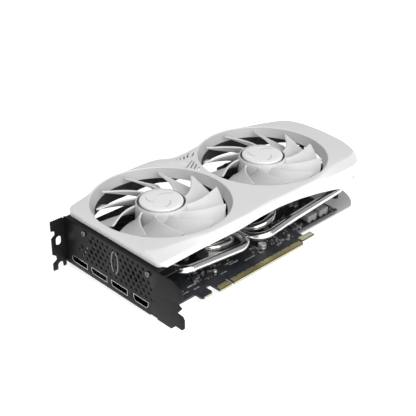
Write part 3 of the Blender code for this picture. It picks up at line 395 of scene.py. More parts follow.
# ---------------------------------------------------------------------------------------------
# Processor, memory and pads: a laminate carrier with its bare polished die, moulded memory
# packages, and soft grey pads between the memory and the cold plate.

dress(package, "gpu_package", "memory_chip_1", "memory_chip_2", "memory_chip_3", "memory_chip_4",
      "magnet_ring_left", "magnet_ring_right")
silicon = Look("polished_silicon", (0.25, 0.27, 0.30), 0.08, 0.8)
silicon.mottle(4.0, (0.22, 0.24, 0.27), (0.29, 0.31, 0.35))
silicon.grain(0.6, 0.001, 0.04)
dress(silicon, "gpu_die")
pad = Look("soft_pad", (0.35, 0.38, 0.42), 0.8)
pad.mottle(1.0, (0.30, 0.33, 0.37), (0.40, 0.43, 0.47), 4.0)
pad.grain(0.4, 0.05, 0.1)
dress(pad, "thermal_pad_left", "thermal_pad_right")
nylon = Look("white_nylon", (0.72, 0.72, 0.69), 0.42)
nylon.mottle(2.0, (0.68, 0.68, 0.65), (0.76, 0.76, 0.73))
nylon.grain(0.25, 0.01, 0.1)
dress(nylon, "fan_header")
winding = Look("varnished_copper", (0.60, 0.30, 0.18), 0.35, 1.0)
turns = winding.node("ShaderNodeTexWave", {"wave_type": "BANDS", "bands_direction": "Z"},
                     {"Vector": winding.place, "Scale": 900.0, "Distortion": 0.6}, "Fac")
winding.put({"Base_Color": winding.mix(turns, (0.42, 0.19, 0.10), (0.68, 0.36, 0.22))})
winding.bump(turns, 0.08)
dress(winding, "fan_stator_left", "fan_stator_right", "fan_bearing_left", "fan_bearing_right")

# ---------------------------------------------------------------------------------------------
# Cooler: a nickel-plated cold plate, four bent heat pipes pressed to it, and two stacks of thin
# pressed fins. The pipes are copper tube, bright nickel-plated, sealed at both ends.

nickel = Look("bright_nickel", (0.80, 0.80, 0.79), 0.12, 1.0)
drawn = nickel.noise(9.0, 3.0)
nickel.put({"Base_Color": nickel.mix(drawn, (0.74, 0.74, 0.73), (0.86, 0.86, 0.85)),
            "Roughness": nickel.noise(2.5, 3.0) * 0.10 + 0.09})
nickel.bump(drawn, 0.02)
dress(nickel, "cold_plate")

PIPE_RADIUS = 3.0
PIPE_LOW, PIPE_HIGH = 10.37, 15.97


def filleted(corners, radii, step):
    """A route through corners, each rounded by an arc of its own radius."""
    route = [Vector(corners[0])]
    for k in range(1, len(corners) - 1):
        here = Vector(corners[k])
        into = (here - Vector(corners[k - 1])).normalized()
        away = (Vector(corners[k + 1]) - here).normalized()
        turn = into.angle(away)
        radius = radii[k - 1]
        start = here - into * radius * tan(turn / 2)
        side = (away - into * cos(turn)).normalized()
        route += stretch(route[-1], start, step)
        count = max(1, ceil(radius * turn / step))
        route += [start + radius * (into * sin(turn * i / count)
                                    + side * (1 - cos(turn * i / count)))
                  for i in range(1, count + 1)]
    return route + stretch(route[-1], Vector(corners[-1]), step)


def stretch(start, end, step):
    """Points along a straight run, without its start."""
    count = max(1, ceil((end - start).length / step / 3))
    return [start.lerp(end, i / count) for i in range(1, count + 1)]


def add_tube(name, route, radius, look, nodes, nose=0.0):
    """A round tube along a route, with both ends drawn in to a closed nose."""
    curve = bpy.data.curves.new(name, "CURVE")
    curve.dimensions = "3D"
    curve.bevel_depth = radius
    curve.bevel_resolution = 8
    curve.use_fill_caps = True
    line = curve.splines.new("POLY")
    line.points.add(len(route) - 1)
    for point, place in zip(line.points, route):
        point.co = (*place, 1.0)
    if nose:
        line.points[0].radius = line.points[-1].radius = nose
    holder = bpy.data.objects.new(name, curve)
    bpy.context.scene.collection.objects.link(holder)
    bpy.context.view_layer.update()
    form = bmesh.new()
    form.from_mesh(holder.to_mesh())
    bpy.data.objects.remove(holder)
    bpy.data.curves.remove(curve)
    bmesh.ops.remove_doubles(form, verts=form.verts, dist=1e-4)
    bmesh.ops.recalc_face_normals(form, faces=form.faces)
    return add_piece(name, form, look, nodes=nodes, crease=50.0)


PIPES = {
    "left_outer": ([(91.0, 86.0, PIPE_LOW), (91.0, 46.0, PIPE_LOW), (91.0, 12.2, 13.17),
                    (27.5, 17.0, PIPE_HIGH), (27.5, 98.0, PIPE_HIGH)], (24, 13, 9)),
    "left_inner": ([(84.6, 86.0, PIPE_LOW), (84.6, 46.0, PIPE_LOW), (84.6, 21.6, 13.77),
                    (59.0, 24.6, PIPE_HIGH), (59.0, 98.0, PIPE_HIGH)], (24, 11, 10)),
    "right_inner": ([(103.8, 86.0, PIPE_LOW), (103.8, 25.0, PIPE_LOW),
                     (131.5, 26.4, PIPE_HIGH), (131.5, 90.4, PIPE_HIGH)], (13, 12)),
    "right_outer": ([(97.4, 86.0, PIPE_LOW), (97.4, 14.2, PIPE_LOW), (134.4, 15.6, 13.97),
                     (197.5, 18.2, PIPE_HIGH), (197.5, 90.4, PIPE_HIGH)], (14, 60, 10)),
}
for name, (corners, radii) in PIPES.items():
    add_tube(f"pipe_{name}", filleted(corners, radii, 0.9), PIPE_RADIUS, nickel,
             (f"heat_pipe_{name}",), 0.55)

# The fins are painted near black: a painted shade standing for the shadow under the fans. The rolled
# streaks are the sheet's own grain.
fin_shade_look = Look("fins_painted_shade", (0.05, 0.05, 0.052), 0.5, 0.8)
rolled = fin_shade_look.node("ShaderNodeTexNoise", {}, {
    "Vector": fin_shade_look.node("ShaderNodeMapping", {}, {
        "Vector": fin_shade_look.place, "Scale": (40.0, 900.0, 900.0)}),
    "Scale": 1.0, "Detail": 3.0})
fin_shade_look.put({"Base_Color": fin_shade_look.mix(rolled, (0.035, 0.035, 0.037), (0.07, 0.07, 0.072)),
              "Roughness": rolled * 0.2 + 0.3})
fin_shade_look.bump(rolled, 0.01)

FIN_NEAR = 39.0
FIN_LOW, FIN_HIGH = 9.6, 21.3
FIN_SHEET = 0.3
FIN_STEP = 1.95
CHANNEL = 3.2


def only_verts(items):
    return [item for item in items if isinstance(item, bmesh.types.BMVert)]


def fin_stack(left, right, far, legs):
    """Thin upright sheets with a slot for each pipe and a folded lip that meets the next one."""
    form = bmesh.new()
    outline = [(left, FIN_LOW)]
    for leg in legs:
        outline += [(leg - CHANNEL, FIN_LOW), (leg - CHANNEL, PIPE_HIGH)]
        outline += [(leg - CHANNEL * cos(pi * i / 8), PIPE_HIGH + CHANNEL * sin(pi * i / 8))
                    for i in range(1, 8)]
        outline += [(leg + CHANNEL, PIPE_HIGH), (leg + CHANNEL, FIN_LOW)]
    outline += [(right, FIN_LOW), (right, FIN_HIGH), (left, FIN_HIGH)]
    face = form.faces.new([form.verts.new((x, FIN_NEAR, z)) for x, z in outline])
    grown = bmesh.ops.extrude_face_region(form, geom=[face])["geom"]
    bmesh.ops.translate(form, vec=(0.0, FIN_SHEET, 0.0), verts=only_verts(grown))
    box(form, (left, FIN_NEAR, FIN_HIGH - FIN_SHEET), (right, FIN_NEAR + FIN_STEP - 0.1, FIN_HIGH))
    bmesh.ops.recalc_face_normals(form, faces=form.faces)
    count = int((far - FIN_NEAR - FIN_SHEET) / FIN_STEP)
    first = form.verts[:] + form.edges[:] + form.faces[:]
    for k in range(1, count):
        copied = bmesh.ops.duplicate(form, geom=first)["geom"]
        bmesh.ops.translate(form, vec=(0.0, FIN_STEP * k, 0.0), verts=only_verts(copied))
    return form


add_piece("fins_left", fin_stack(14.0, 74.0, 103.0, (27.5, 59.0)), fin_shade_look,
          nodes=("fin_stack_left",), crease=20.0)
add_piece("fins_right", fin_stack(114.5, 205.8, 95.4, (131.5, 197.5)), fin_shade_look,
          nodes=("fin_stack_right",), crease=20.0)

# ---------------------------------------------------------------------------------------------
# Shroud: one white moulding over the whole cooler, 1.6 mm thick, with two bell-mouthed openings,
# a bright sloping band along its near edge and slots between the fans. It is held by bosses on
# the fan arms.

SHROUD_TOP = 38.2
WALL = 1.6
SHOULDER = 3.0
FAN_X = (55.5, 157.6)
FAN_Y = 67.0
RIM = 48.95
THROAT = 45.65
THROAT_LOW = 31.0
HEM = 18.4
SHELL_END, SHELL_FAR = 224.8, 117.8

shell_look = Look("shell_white", (0.80, 0.80, 0.80), 0.40)
# Inside each fan's rim the bell-mouth throat is painted grey: a painted shade standing for the shadow
# in the openings. A faint random mottle runs over the whole shell.
throat_shade = 0.0
for x in FAN_X:
    axis = ZERO + Vector((x, FAN_Y, 0.0)) * MM
    flat = shell_look.node("ShaderNodeVectorMath", {"operation": "MULTIPLY_ADD"}, {
        0: shell_look.place, 1: (1.0, 1.0, 0.0), 2: (-axis.x, -axis.y, 0.0)})
    away = shell_look.node("ShaderNodeVectorMath", {"operation": "LENGTH"}, {0: flat}, "Value")
    throat_shade = (away < (RIM - 0.1) * MM) + throat_shade
shell_look.put({"Base_Color": shell_look.mix(
    throat_shade * 0.9 + shell_look.noise(30.0, 3.0) * 0.1, (0.82, 0.82, 0.82), (0.50, 0.50, 0.50))})
shell_look.grain(0.35, 0.012, 0.12)
# The shell's inner face is near black. It is the moulding's own dark inside and also a painted shade
# for the shadow under the shroud.
inside_dark_shade_look = Look("shell_inside_dark_and_shade", (0.06, 0.06, 0.06), 0.6)
inside_dark_shade_look.mottle(20.0, (0.05, 0.05, 0.05), (0.08, 0.08, 0.08))
inside_dark_shade_look.grain(0.35, 0.012, 0.1)

OUTLINE = [
    (192.5, 11.8), (199.3, 12.3), (206.7, 15.2), (214.0, 22.8), (219.4, 33.8), (222.4, 44.0),
    (224.8, 67.0), (223.2, 86.0), (217.2, 97.6), (201.9, 105.6), (179.8, 112.8), (162.6, 116.6),
    (147.6, 114.4), (133.6, 112.2), (113.6, 110.0), (103.6, 111.0), (93.5, 116.6), (75.5, 117.8),
    (55.5, 116.0), (37.5, 111.8), (23.5, 108.4), (12.5, 105.8),
]
FOLD = [(0.0, 28.0), (14.0, 22.0), (36.0, 17.8), (50.0, 14.6), (70.0, 13.6), (88.0, 14.4),
        (106.0, 16.0), (130.0, 14.8), (157.0, 14.4), (170.0, 17.0), (180.0, 19.6),
        (192.0, 20.8), (204.0, 20.8), (230.0, 30.0)]
HEM_LINE = [(0.0, 32.4), (8.1, 32.2), (9.7, 29.9), (39.5, 30.6), (75.5, 30.2), (95.5, 31.8),
            (115.6, 32.2), (135.6, 30.4), (157.6, 26.9), (175.6, 23.0), (188.6, 19.4),
            (197.6, HEM), (230.0, HEM)]


def smooth_path(points, steps):
    """An open Catmull-Rom curve through the points."""
    ends = [points[0]] + list(points) + [points[-1]]
    path = []
    for k in range(len(points) - 1):
        a, b, c, d = (Vector(ends[k + i]) for i in range(4))
        for step in range(steps):
            t = step / steps
            path.append(0.5 * (2 * b + (c - a) * t + (2 * a - 5 * b + 4 * c - d) * t ** 2
                               + (3 * b - a - 3 * c + d) * t ** 3))
    return path + [Vector(points[-1])]


def arc(centre, radius, start, end, sides):
    turn = [radians(start + (end - start) * k / sides) for k in range(sides + 1)]
    return [Vector((centre[0] + radius * cos(a), centre[1] + radius * sin(a))) for a in turn]


def height_on(line, x):
    """The height of a line of points at x."""
    for (x0, y0), (x1, y1) in zip(line, line[1:]):
        if x <= x1:
            return y0 + (y1 - y0) * (x - x0) / (x1 - x0)
    return line[-1][1]


def inset(loop, distance):
    """A counter-clockwise loop moved in along its own normals."""
    moved = []
    for k, point in enumerate(loop):
        along = (loop[(k + 1) % len(loop)] - loop[k - 1]).normalized()
        moved.append(point + Vector((-along.y, along.x)) * distance)
    return moved


def shroud_loop():
    """The shroud from above, as closely spaced points, counter-clockwise."""
    near = [Vector((6.7 + 4.0 * k, 11.8)) for k in range(1, 46)]
    side = [Vector((3.5, 99.4 - 3.3 * k)) for k in range(1, 26)]
    return (arc((6.7, 15.0), 3.2, 180, 270, 8) + near + smooth_path(OUTLINE, 6)
            + arc((8.5, 99.4), 5.0, 104, 180, 8) + side)


def ring(form, points):
    """A closed loop of new vertices and edges at points with a height each."""
    verts = [form.verts.new(point) for point in points]
    return [form.edges.new((verts[k - 1], verts[k])) for k in range(len(verts))]


def bridged(form, rings):
    for first, second in zip(rings, rings[1:]):
        bmesh.ops.bridge_loops(form, edges=first + second)


def stroke_loop(path, width, sides=5):
    """The outline of a pen stroke along a path, with round ends."""
    points = [Vector(point) for point in path]
    half = width / 2
    left, right = [], []
    for k, point in enumerate(points):
        along = (points[min(k + 1, len(points) - 1)] - points[max(k - 1, 0)]).normalized()
        across = Vector((-along.y, along.x)) * half
        left.append(point + across)
        right.append(point - across)
    caps = []
    for tip, before in ((points[-1], points[-2]), (points[0], points[1])):
        along = (tip - before).normalized()
        across = Vector((-along.y, along.x))
        caps.append([tip + (along * sin(pi * i / sides) - across * cos(pi * i / sides)) * half
                     for i in range(1, sides)])
    return right + caps[0] + left[::-1] + caps[1]


SLOTS = [[(100.9, 90.1), (112.7, 96.1)], [(103.2, 87.9), (112.2, 93.5)],
         [(104.1, 85.1), (110.8, 89.4)], [(104.9, 81.6), (108.6, 84.8)],
         [(116.4, 100.9), (120.0, 102.9), (122.0, 104.8)],
         [(113.1, 101.7), (115.4, 104.2), (118.2, 105.7)],
         [(109.4, 101.7), (111.3, 103.5), (112.5, 105.3)], [(107.0, 103.2), (108.5, 105.2)],
         [(104.0, 104.8), (105.6, 105.2)]]
RIDGES = [[(87.6 + 1.1 * k, 110.4 - 1.5 * k), (99.0 + 0.6 * k, 103.6 - 2.7 * k),
           (105.6 + 0.5 * k, 98.4 - 1.6 * k)] for k in range(4)]


def clear_of_fans(loop, radius):
    """Pushes a loop's points out of both fans' rims."""
    for point in loop:
        for x in FAN_X:
            away = point - Vector((x, FAN_Y))
            if away.length < radius:
                point += away.normalized() * (radius - away.length)
        point.x, point.y = min(point.x, SHELL_END), min(point.y, SHELL_FAR)
    return loop


def hem_at(point):
    """The wall's lower edge: cut away over the pipes and the flange, deep at the far side."""
    return HEM if point.y > FAN_Y and point.x > 8.1 else height_on(HEM_LINE, point.x)


def raised(form, height):
    """Flat faces grown upwards into closed slabs."""
    bmesh.ops.recalc_face_normals(form, faces=form.faces)
    for face in form.faces:
        if face.normal.z > 0:
            face.normal_flip()
    grown = bmesh.ops.extrude_face_region(form, geom=form.faces[:])["geom"]
    bmesh.ops.translate(form, vec=(0.0, 0.0, height), verts=only_verts(grown))
    bmesh.ops.recalc_face_normals(form, faces=form.faces)


def make_shell():
    form = bmesh.new()
    loop = clear_of_fans(shroud_loop(), RIM + 1.5)
    crown = clear_of_fans(inset(loop, 2.2), RIM + 0.9)
    for point in crown:
        if point.y < 60.0:
            point.y = max(point.y, height_on(FOLD, point.x))
    rings = [ring(form, [(p.x, p.y, hem_at(p)) for p in loop])]
    steps = 6
    for i in range(steps + 1):
        turn = pi / 2 * i / steps
        points = []
        for low, high in zip(loop, crown):
            reach = high - low
            flat = max(0.0, min(1.0, (reach.length - 2.4) / 3.0))
            out = flat * i / steps + (1 - flat) * (1 - cos(turn))
            rise = flat * i / steps + (1 - flat) * sin(turn)
            points.append((*(low + reach * out), SHROUD_TOP - SHOULDER + SHOULDER * rise))
        rings.append(ring(form, points))
    bridged(form, rings)
    for x in FAN_X:
        mouth = []
        for radius, height in ((RIM + 0.5, SHROUD_TOP), (RIM + 0.3, SHROUD_TOP),
                               (RIM + 0.12, SHROUD_TOP - 0.08), (RIM, SHROUD_TOP - 0.25),
                               (RIM - 0.3, SHROUD_TOP - 1.0), (THROAT + 0.15, THROAT_LOW + 0.6),
                               (THROAT, THROAT_LOW)):
            points = [(x + radius * cos(2 * pi * k / 144), FAN_Y + radius * sin(2 * pi * k / 144),
                       height) for k in range(144)]
            mouth.append(ring(form, points))
        bridged(form, mouth)
    for path in SLOTS:
        ring(form, [(*p, SHROUD_TOP) for p in stroke_loop(smooth_path(path, 4), 1.1)])
    bmesh.ops.remove_doubles(form, verts=form.verts, dist=0.02)
    fill = [edge for edge in form.edges if len(edge.link_faces) < 2
            and all(abs(vert.co.z - SHROUD_TOP) < 1e-4 for vert in edge.verts)]
    bmesh.ops.triangle_fill(form, edges=fill, use_beauty=True)
    bmesh.ops.recalc_face_normals(form, faces=form.faces)
    top = max(form.faces, key=lambda face: face.calc_area() * (face.calc_center_median().z > 38.0))
    if top.normal.z < 0:
        bmesh.ops.reverse_faces(form, faces=form.faces)
    form.normal_update()
    return form


def walled(form, thickness):
    """Gives a skin its wall, inwards, with its inner face in the second material."""
    outer = form.faces[:]
    grown = bmesh.ops.solidify(form, geom=outer, thickness=thickness)["geom"]
    for face in grown:
        if isinstance(face, bmesh.types.BMFace):
            face.material_index = 1
    for face in outer:
        face.material_index = 0
    return form


shell = add_piece("shroud_shell", walled(make_shell(), WALL), shell_look, nodes=("shroud",),
                  crease=34.0)
shell.data.materials.append(inside_dark_shade_look.material)
even = shell.modifiers.new("flat faces shade flat", "WEIGHTED_NORMAL")
even.keep_sharp = True
ridges = bmesh.new()
for path in RIDGES:
    line = ring(ridges, [(*p, SHROUD_TOP - 0.1) for p in stroke_loop(smooth_path(path, 8), 0.5)])
    bmesh.ops.triangle_fill(ridges, edges=line, use_beauty=True)
raised(ridges, 0.3)
add_piece("shell_ridges", ridges, shell_look)
# Six dark dashes on the near wall: a painted shade standing for a short engraved mark, drawn in the
# shell's dark inside material.
dashes = bmesh.new()
for k in range(6):
    y = height_on(OUTLINE, 193.2 + 1.3 * k)
    box(dashes, (193.2 + 1.3 * k, y - 0.06, 24.2), (194.1 + 1.3 * k, y + 0.5, 25.2))
add_piece("wall_dashes", dashes, inside_dark_shade_look)

# ---------------------------------------------------------------------------------------------
# Fans: a moulded white rotor with eleven swept blades that come to a point, a fine dotted
# texture on each blade, and a smooth domed cap pressed into the hub with a dark groove round it.

BLADES = 11
TIP = 44.4
HUB = 18.2
HUB_LOW = 24.4
DECK = 36.5
CAP = 15.8
CAP_THICK = 2.1
GROOVE = 1.1
ROUND = 96
MARK_RADIUS = 11.0

blade_look = Look("blade_white", (0.76, 0.76, 0.77), 0.46)
dots = blade_look.node("ShaderNodeTexVoronoi", {"feature": "F1"}, {
    "Vector": blade_look.place, "Scale": 950.0, "Randomness": 0.25}, "Distance")
dimple = (dots < 0.30) * 1.0
blade_look.put({
    "Base_Color": blade_look.mix(dimple * 0.55 + blade_look.noise(12.0) * 0.3,
                                 (0.79, 0.79, 0.80), (0.66, 0.66, 0.67)),
    "Roughness": blade_look.noise(4.0) * 0.12 + 0.40,
})
blade_look.bump(dimple * -1.0 + blade_look.noise(0.3) * 0.2, 0.03)
cap_look = Look("cap_white", (0.97, 0.97, 0.97), 0.26, 0.0, Coat_Weight=0.3)
cap_look.mottle(8.0, (0.96, 0.96, 0.96), (0.94, 0.94, 0.94))
cap_look.grain(0.5, 0.003, 0.08)
groove_look = Look("groove_shadow", (0.05, 0.05, 0.052), 0.6)
groove_look.mottle(1.0, (0.04, 0.04, 0.042), (0.07, 0.07, 0.072))
groove_look.grain(0.3, 0.01, 0.1)
mark_look = Look("cap_marks", (0.48, 0.48, 0.48), 0.4)
mark_look.mottle(1.0, (0.42, 0.42, 0.42), (0.56, 0.56, 0.56))
mark_look.grain(0.3, 0.003, 0.08)


def blade(turn):
    """One swept blade from hub to tip: the leading edge stands highest and turns foremost."""
    form = bmesh.new()
    bmesh.ops.create_grid(form, x_segments=26, y_segments=12, size=0.5)
    root = HUB - 1.0
    for vert in form.verts:
        out, back = vert.co.x + 0.5, vert.co.y + 0.5
        lag = 36.0 * (1 - out) ** 1.35
        chord = 33.0 * (1 - 0.12 * (1 - out))
        angle = radians(18.5 + turn - lag - chord * back)
        radius = root + (TIP - root) * out
        fall = 10.8 * (back + 0.12 * sin(pi * back))
        vert.co = (radius * cos(angle), radius * sin(angle), 37.0 - 0.8 * (1 - out) - fall)
    bmesh.ops.recalc_face_normals(form, faces=form.faces)
    if sum(face.normal.z for face in form.faces) < 0:
        bmesh.ops.reverse_faces(form, faces=form.faces)
    bmesh.ops.solidify(form, geom=form.faces[:], thickness=1.3)
    rim = [edge for edge in form.edges if edge.calc_face_angle(0.0) > radians(50)]
    bmesh.ops.bevel(form, geom=rim, offset=0.32, segments=2, profile=0.5, affect="EDGES",
                    material=-1)
    return form


def add_fan(side, x):
    body = f"fan_{side}"
    at = (x, FAN_Y)
    wheel = bmesh.new()
    for k in range(BLADES):
        merged(wheel, blade(360.0 * k / BLADES))
    bmesh.ops.translate(wheel, vec=(x, FAN_Y, 0.0), verts=wheel.verts)
    rim = CAP + GROOVE
    spun([(0.0, DECK - 1.5), (HUB - 1.5, DECK - 1.5), (HUB - 1.5, HUB_LOW), (HUB, HUB_LOW),
          (HUB, 31.0), (HUB - 0.15, 35.0), (HUB - 0.35, 36.8), (HUB - 0.7, 37.5),
          (HUB - 1.0, DECK + 1.3), (rim + 0.15, DECK + 1.3), (rim, DECK + 1.1), (rim, DECK),
          (0.0, DECK)], ROUND, at, wheel)
    add_piece(f"wheel_{side}", wheel, blade_look, body, (f"fan_rotor_{side}",), 38.0)
    top = DECK + 0.3 + CAP_THICK
    lid = CAP - 0.5
    dome = spun([(0.0, DECK + 0.3), (lid, DECK + 0.3), (lid, top - 0.95), (lid - 0.12, top - 0.6),
                 (lid - 0.4, top - 0.32), (lid - 0.9, top - 0.16), (lid * 0.7, top - 0.07),
                 (lid * 0.35, top - 0.01), (0.0, top)], ROUND, at)
    add_piece(f"dome_{side}", dome, cap_look, body, (f"hub_cap_{side}",))
    groove = spun([(lid - 0.4, DECK + 0.05), (rim, DECK + 0.05), (rim, DECK + 0.4),
                   (lid - 0.4, DECK + 0.4), (lid - 0.4, DECK + 0.05)], ROUND, at)
    add_piece(f"groove_{side}", groove, groove_look, body)
    marks = bmesh.new()
    for turn in (5, 125, 245):
        path = [(x + MARK_RADIUS * cos(radians(turn + 11 * i)) * (1 - 0.085 * i),
                 FAN_Y + MARK_RADIUS * sin(radians(turn + 11 * i)) * (1 - 0.085 * i))
                for i in range(9)]
        outline = ring(marks, [(*p, top - 0.16) for p in stroke_loop(path, 0.7)])
        bmesh.ops.triangle_fill(marks, edges=outline, use_beauty=True)
    raised(marks, 0.14)
    add_piece(f"cap_marks_{side}", marks, mark_look, body)


for side, x in zip(("left", "right"), FAN_X):
    add_fan(side, x)

# ---------------------------------------------------------------------------------------------
# Backplate and its fixings: a light grey painted aluminium plate under the board, with round
# screw holes and two air slots near its edge, held by eight dark screws with cross recesses.

plate_look = Look("plate_grey", (0.50, 0.50, 0.51), 0.42)
plate_look.mottle(25.0, (0.47, 0.47, 0.48), (0.53, 0.53, 0.54), 3.0)
plate_look.grain(0.25, 0.012, 0.14)

PLATE_LOW, PLATE_HIGH = -3.2, -2.0
PLATE_NEAR = 14.2
SPRING_SCREWS = [(94.2 + i * 33.0, 60.0 + j * 33.0) for i in (-1, 1) for j in (-1, 1)]
PLATE_SCREWS = [(x, y) for x in (25.4, 179.8) for y in (22.2, 98.6)]


def pierced(outer, holes, along, thickness, ease):
    """A plate with holes: filled between its loops, grown to its thickness, its rims eased.

    along turns a point of the plate's plane and a height into a place.
    """
    form = bmesh.new()
    edges = []
    for loop in [outer, *holes]:
        edges += ring(form, [along(p[0], p[1], 0.0) for p in loop])
    bmesh.ops.triangle_fill(form, edges=edges, use_beauty=True)
    bmesh.ops.recalc_face_normals(form, faces=form.faces)
    lift = Vector(along(0.0, 0.0, thickness)) - Vector(along(0.0, 0.0, 0.0))
    grown = bmesh.ops.extrude_face_region(form, geom=form.faces[:])["geom"]
    bmesh.ops.translate(form, vec=lift, verts=only_verts(grown))
    bmesh.ops.recalc_face_normals(form, faces=form.faces)
    rims = [edge for edge in form.edges if radians(60) < edge.calc_face_angle(0.0) < radians(120)
            and abs((edge.verts[0].co - edge.verts[1].co).normalized().dot(lift.normalized())) < 0.5]
    bmesh.ops.bevel(form, geom=rims, offset=ease, segments=2, profile=0.5, affect="EDGES",
                    material=-1, clamp_overlap=True)
    return form


def disc(centre, radius, sides=24):
    return [(centre[0] + radius * cos(2 * pi * k / sides),
             centre[1] + radius * sin(2 * pi * k / sides)) for k in range(sides)]


plate_loop = []
for point in inset(shroud_loop(), 1.2):
    point.y = max(point.y, PLATE_NEAR)
    if not plate_loop or (point - plate_loop[-1]).length > 0.3:
        plate_loop.append(point)
holes = [disc(place, 1.55) for place in SPRING_SCREWS + PLATE_SCREWS]
holes += [stroke_loop([(x + 1.2, 17.6), (x + 9.8, 17.6)], 2.4) for x in (154.8, 172.8)]
plate = pierced(plate_loop, holes, lambda a, b, c: (a, b, PLATE_LOW + c), PLATE_HIGH - PLATE_LOW,
                0.25)
add_piece("rear_plate", plate, plate_look, nodes=("backplate",))

screw_look = Look("dark_plated_steel", (0.16, 0.16, 0.165), 0.32, 1.0)
screw_look.mottle(1.2, (0.12, 0.12, 0.125), (0.22, 0.22, 0.225))
screw_look.grain(0.2, 0.008, 0.2)
dress(screw_look, "fan_shaft_left", "fan_shaft_right")

CROSS = [(-1.7, -0.35), (-0.35, -0.35), (-0.35, -1.7), (0.35, -1.7), (0.35, -0.35), (1.7, -0.35),
         (1.7, 0.35), (0.35, 0.35), (0.35, 1.7), (-0.35, 1.7), (-0.35, 0.35), (-1.7, 0.35)]


def screw(radius, head, thick, recess, length, shrink=1.0):
    """A round-headed screw standing on its head at height 0, with a cross recess below."""
    form = bmesh.new()
    outer = ring(form, [(*p, 0.0) for p in disc((0, 0), head * 0.8, 40)])
    cross = ring(form, [(x * shrink, y * shrink, 0.0) for x, y in CROSS])
    bmesh.ops.triangle_fill(form, edges=outer + cross, use_beauty=True)
    floor = ring(form, [(x * shrink * 0.9, y * shrink * 0.9, recess) for x, y in CROSS])
    bridged(form, [cross, floor])
    bmesh.ops.triangle_fill(form, edges=floor, use_beauty=True)
    rings = [outer]
    for wide, high in ((head * 0.93, 0.14), (head, 0.5), (head, thick), (radius, thick),
                       (radius, thick + length)):
        rings.append(ring(form, [(*p, high) for p in disc((0, 0), wide, 40)]))
    bridged(form, rings)
    form.faces.new([edge.verts[0] for edge in rings[-1]])
    bmesh.ops.remove_doubles(form, verts=form.verts, dist=1e-4)
    bmesh.ops.recalc_face_normals(form, faces=form.faces)
    return form


SCREW_LOW = PLATE_LOW - 1.8
SPRING_SCREW_TOP = 6.67
for label, places, top in (("spring", SPRING_SCREWS, SPRING_SCREW_TOP),
                           ("backplate", PLATE_SCREWS, BOARD_THICK)):
    for k, (x, y) in enumerate(places):
        form = screw(1.25, 2.9, 1.5, 0.8, top - SCREW_LOW - 1.5)
        bmesh.ops.translate(form, vec=(x, y, SCREW_LOW), verts=form.verts)
        add_piece(f"{label}_bolt_{k + 1}", form, screw_look, nodes=(f"{label}_screw_{k + 1}",))

# ---------------------------------------------------------------------------------------------
# Slot bracket: 0.86 mm steel, pressed, pierced with slanting air slots in two clusters, bent at
# the top edge into a notched tab and along the shroud into a narrow flange, painted satin black.

SHEET = 0.86
BRACKET_HIGH = 31.9
BEND = 104.0
EAR_LOW = -7.1

paint = Look("satin_black_paint", (0.010, 0.010, 0.011), 0.48, Specular_IOR_Level=0.15)
orange_peel = paint.noise(0.7, 3.0)
paint.put({"Base_Color": paint.mix(paint.noise(14.0, 3.0), (0.008, 0.008, 0.009),
                                   (0.012, 0.012, 0.013)),
           "Roughness": paint.noise(5.0) * 0.16 + 0.34})
paint.bump(orange_peel, 0.025)
dress(paint, "cooler_stay")

PLATE_OUTLINE = [
    (BEND, -3.6), (BEND, BRACKET_HIGH), (4.0, BRACKET_HIGH), (-3.4, 32.5), (-11.3, 29.7),
    (-13.0, 28.4), (-13.0, 21.4), (-11.6, 20.0), (-9.9, 19.6), (-9.9, 17.2), (-12.6, 16.0),
    (-8.5, 10.9), (-13.2, 10.5), (-14.8, 8.4), (-14.8, 2.4), (-13.0, 0.3), (-7.1, 0.3),
    (-3.1, -3.6), (9.2, -3.6), (10.1, -2.7), (15.8, -2.7), (16.8, -3.6),
]
SCREW_EARS = [(81.6, 28.2), (17.7, 27.1)]
NICKED_CENTRES = (46.6, 67.4, 88.2)
TAPERED_CENTRE = 25.2
SOCKET_LOW = -0.4


def nicked_loop(centre, low, width, height):
    """A monitor socket's outline with one corner cut off."""
    left, right, nick = centre - width / 2, centre + width / 2, height * 0.32
    return [(left, low), (right - nick, low), (right, low + nick), (right, low + height),
            (left, low + height)]


def tapered_loop(centre, low, width, height):
    """A socket's outline whose lower corners slope in."""
    left, right, slope = centre - width / 2, centre + width / 2, height * 0.36
    return [(left + slope, low), (right - slope, low), (right, low + slope * 1.4),
            (right, low + height), (left, low + height), (left, low + slope * 1.4)]


VENT_STEP, VENT_RISE = 4.9, 3.9
VENT_LOW, VENT_MIDDLE = 9.0, 18.4
VENT_HALF, VENT_LEAN = 1.45, 0.45
VENT_ENDS = (14.0, 87.5)
BLANK_FROM, BLANK_ABOVE = 76.0, 18.0


def vent_loops():
    """Slanting slots in two clusters, each slot larger towards its cluster's middle.

    The plate stays whole round its screws and in its upper corner beside the tab.
    """
    loops = []
    for middle in (76.0, 31.0):
        for row in range(6):
            for column in range(-4, 5):
                y = middle + column * VENT_STEP + (row % 2) * VENT_STEP / 2 - 1.2
                z = VENT_LOW + row * VENT_RISE
                edge = max(abs(y - middle) / 22.0, abs(z - VENT_MIDDLE) / 15.0)
                size = 1.1 - 0.6 * edge
                clear = all(sqrt((y - a) ** 2 + (z - b) ** 2) > 4.4 for a, b in SCREW_EARS)
                inside = VENT_ENDS[0] < y < VENT_ENDS[1] and (y < BLANK_FROM or z < BLANK_ABOVE)
                if size > 0.5 and clear and inside:
                    half, lean = VENT_HALF * size, VENT_LEAN * size
                    loops.append([(y - half - lean, z - half), (y + half - lean, z - half),
                                  (y + half + lean, z + half), (y - half + lean, z + half)])
    return loops


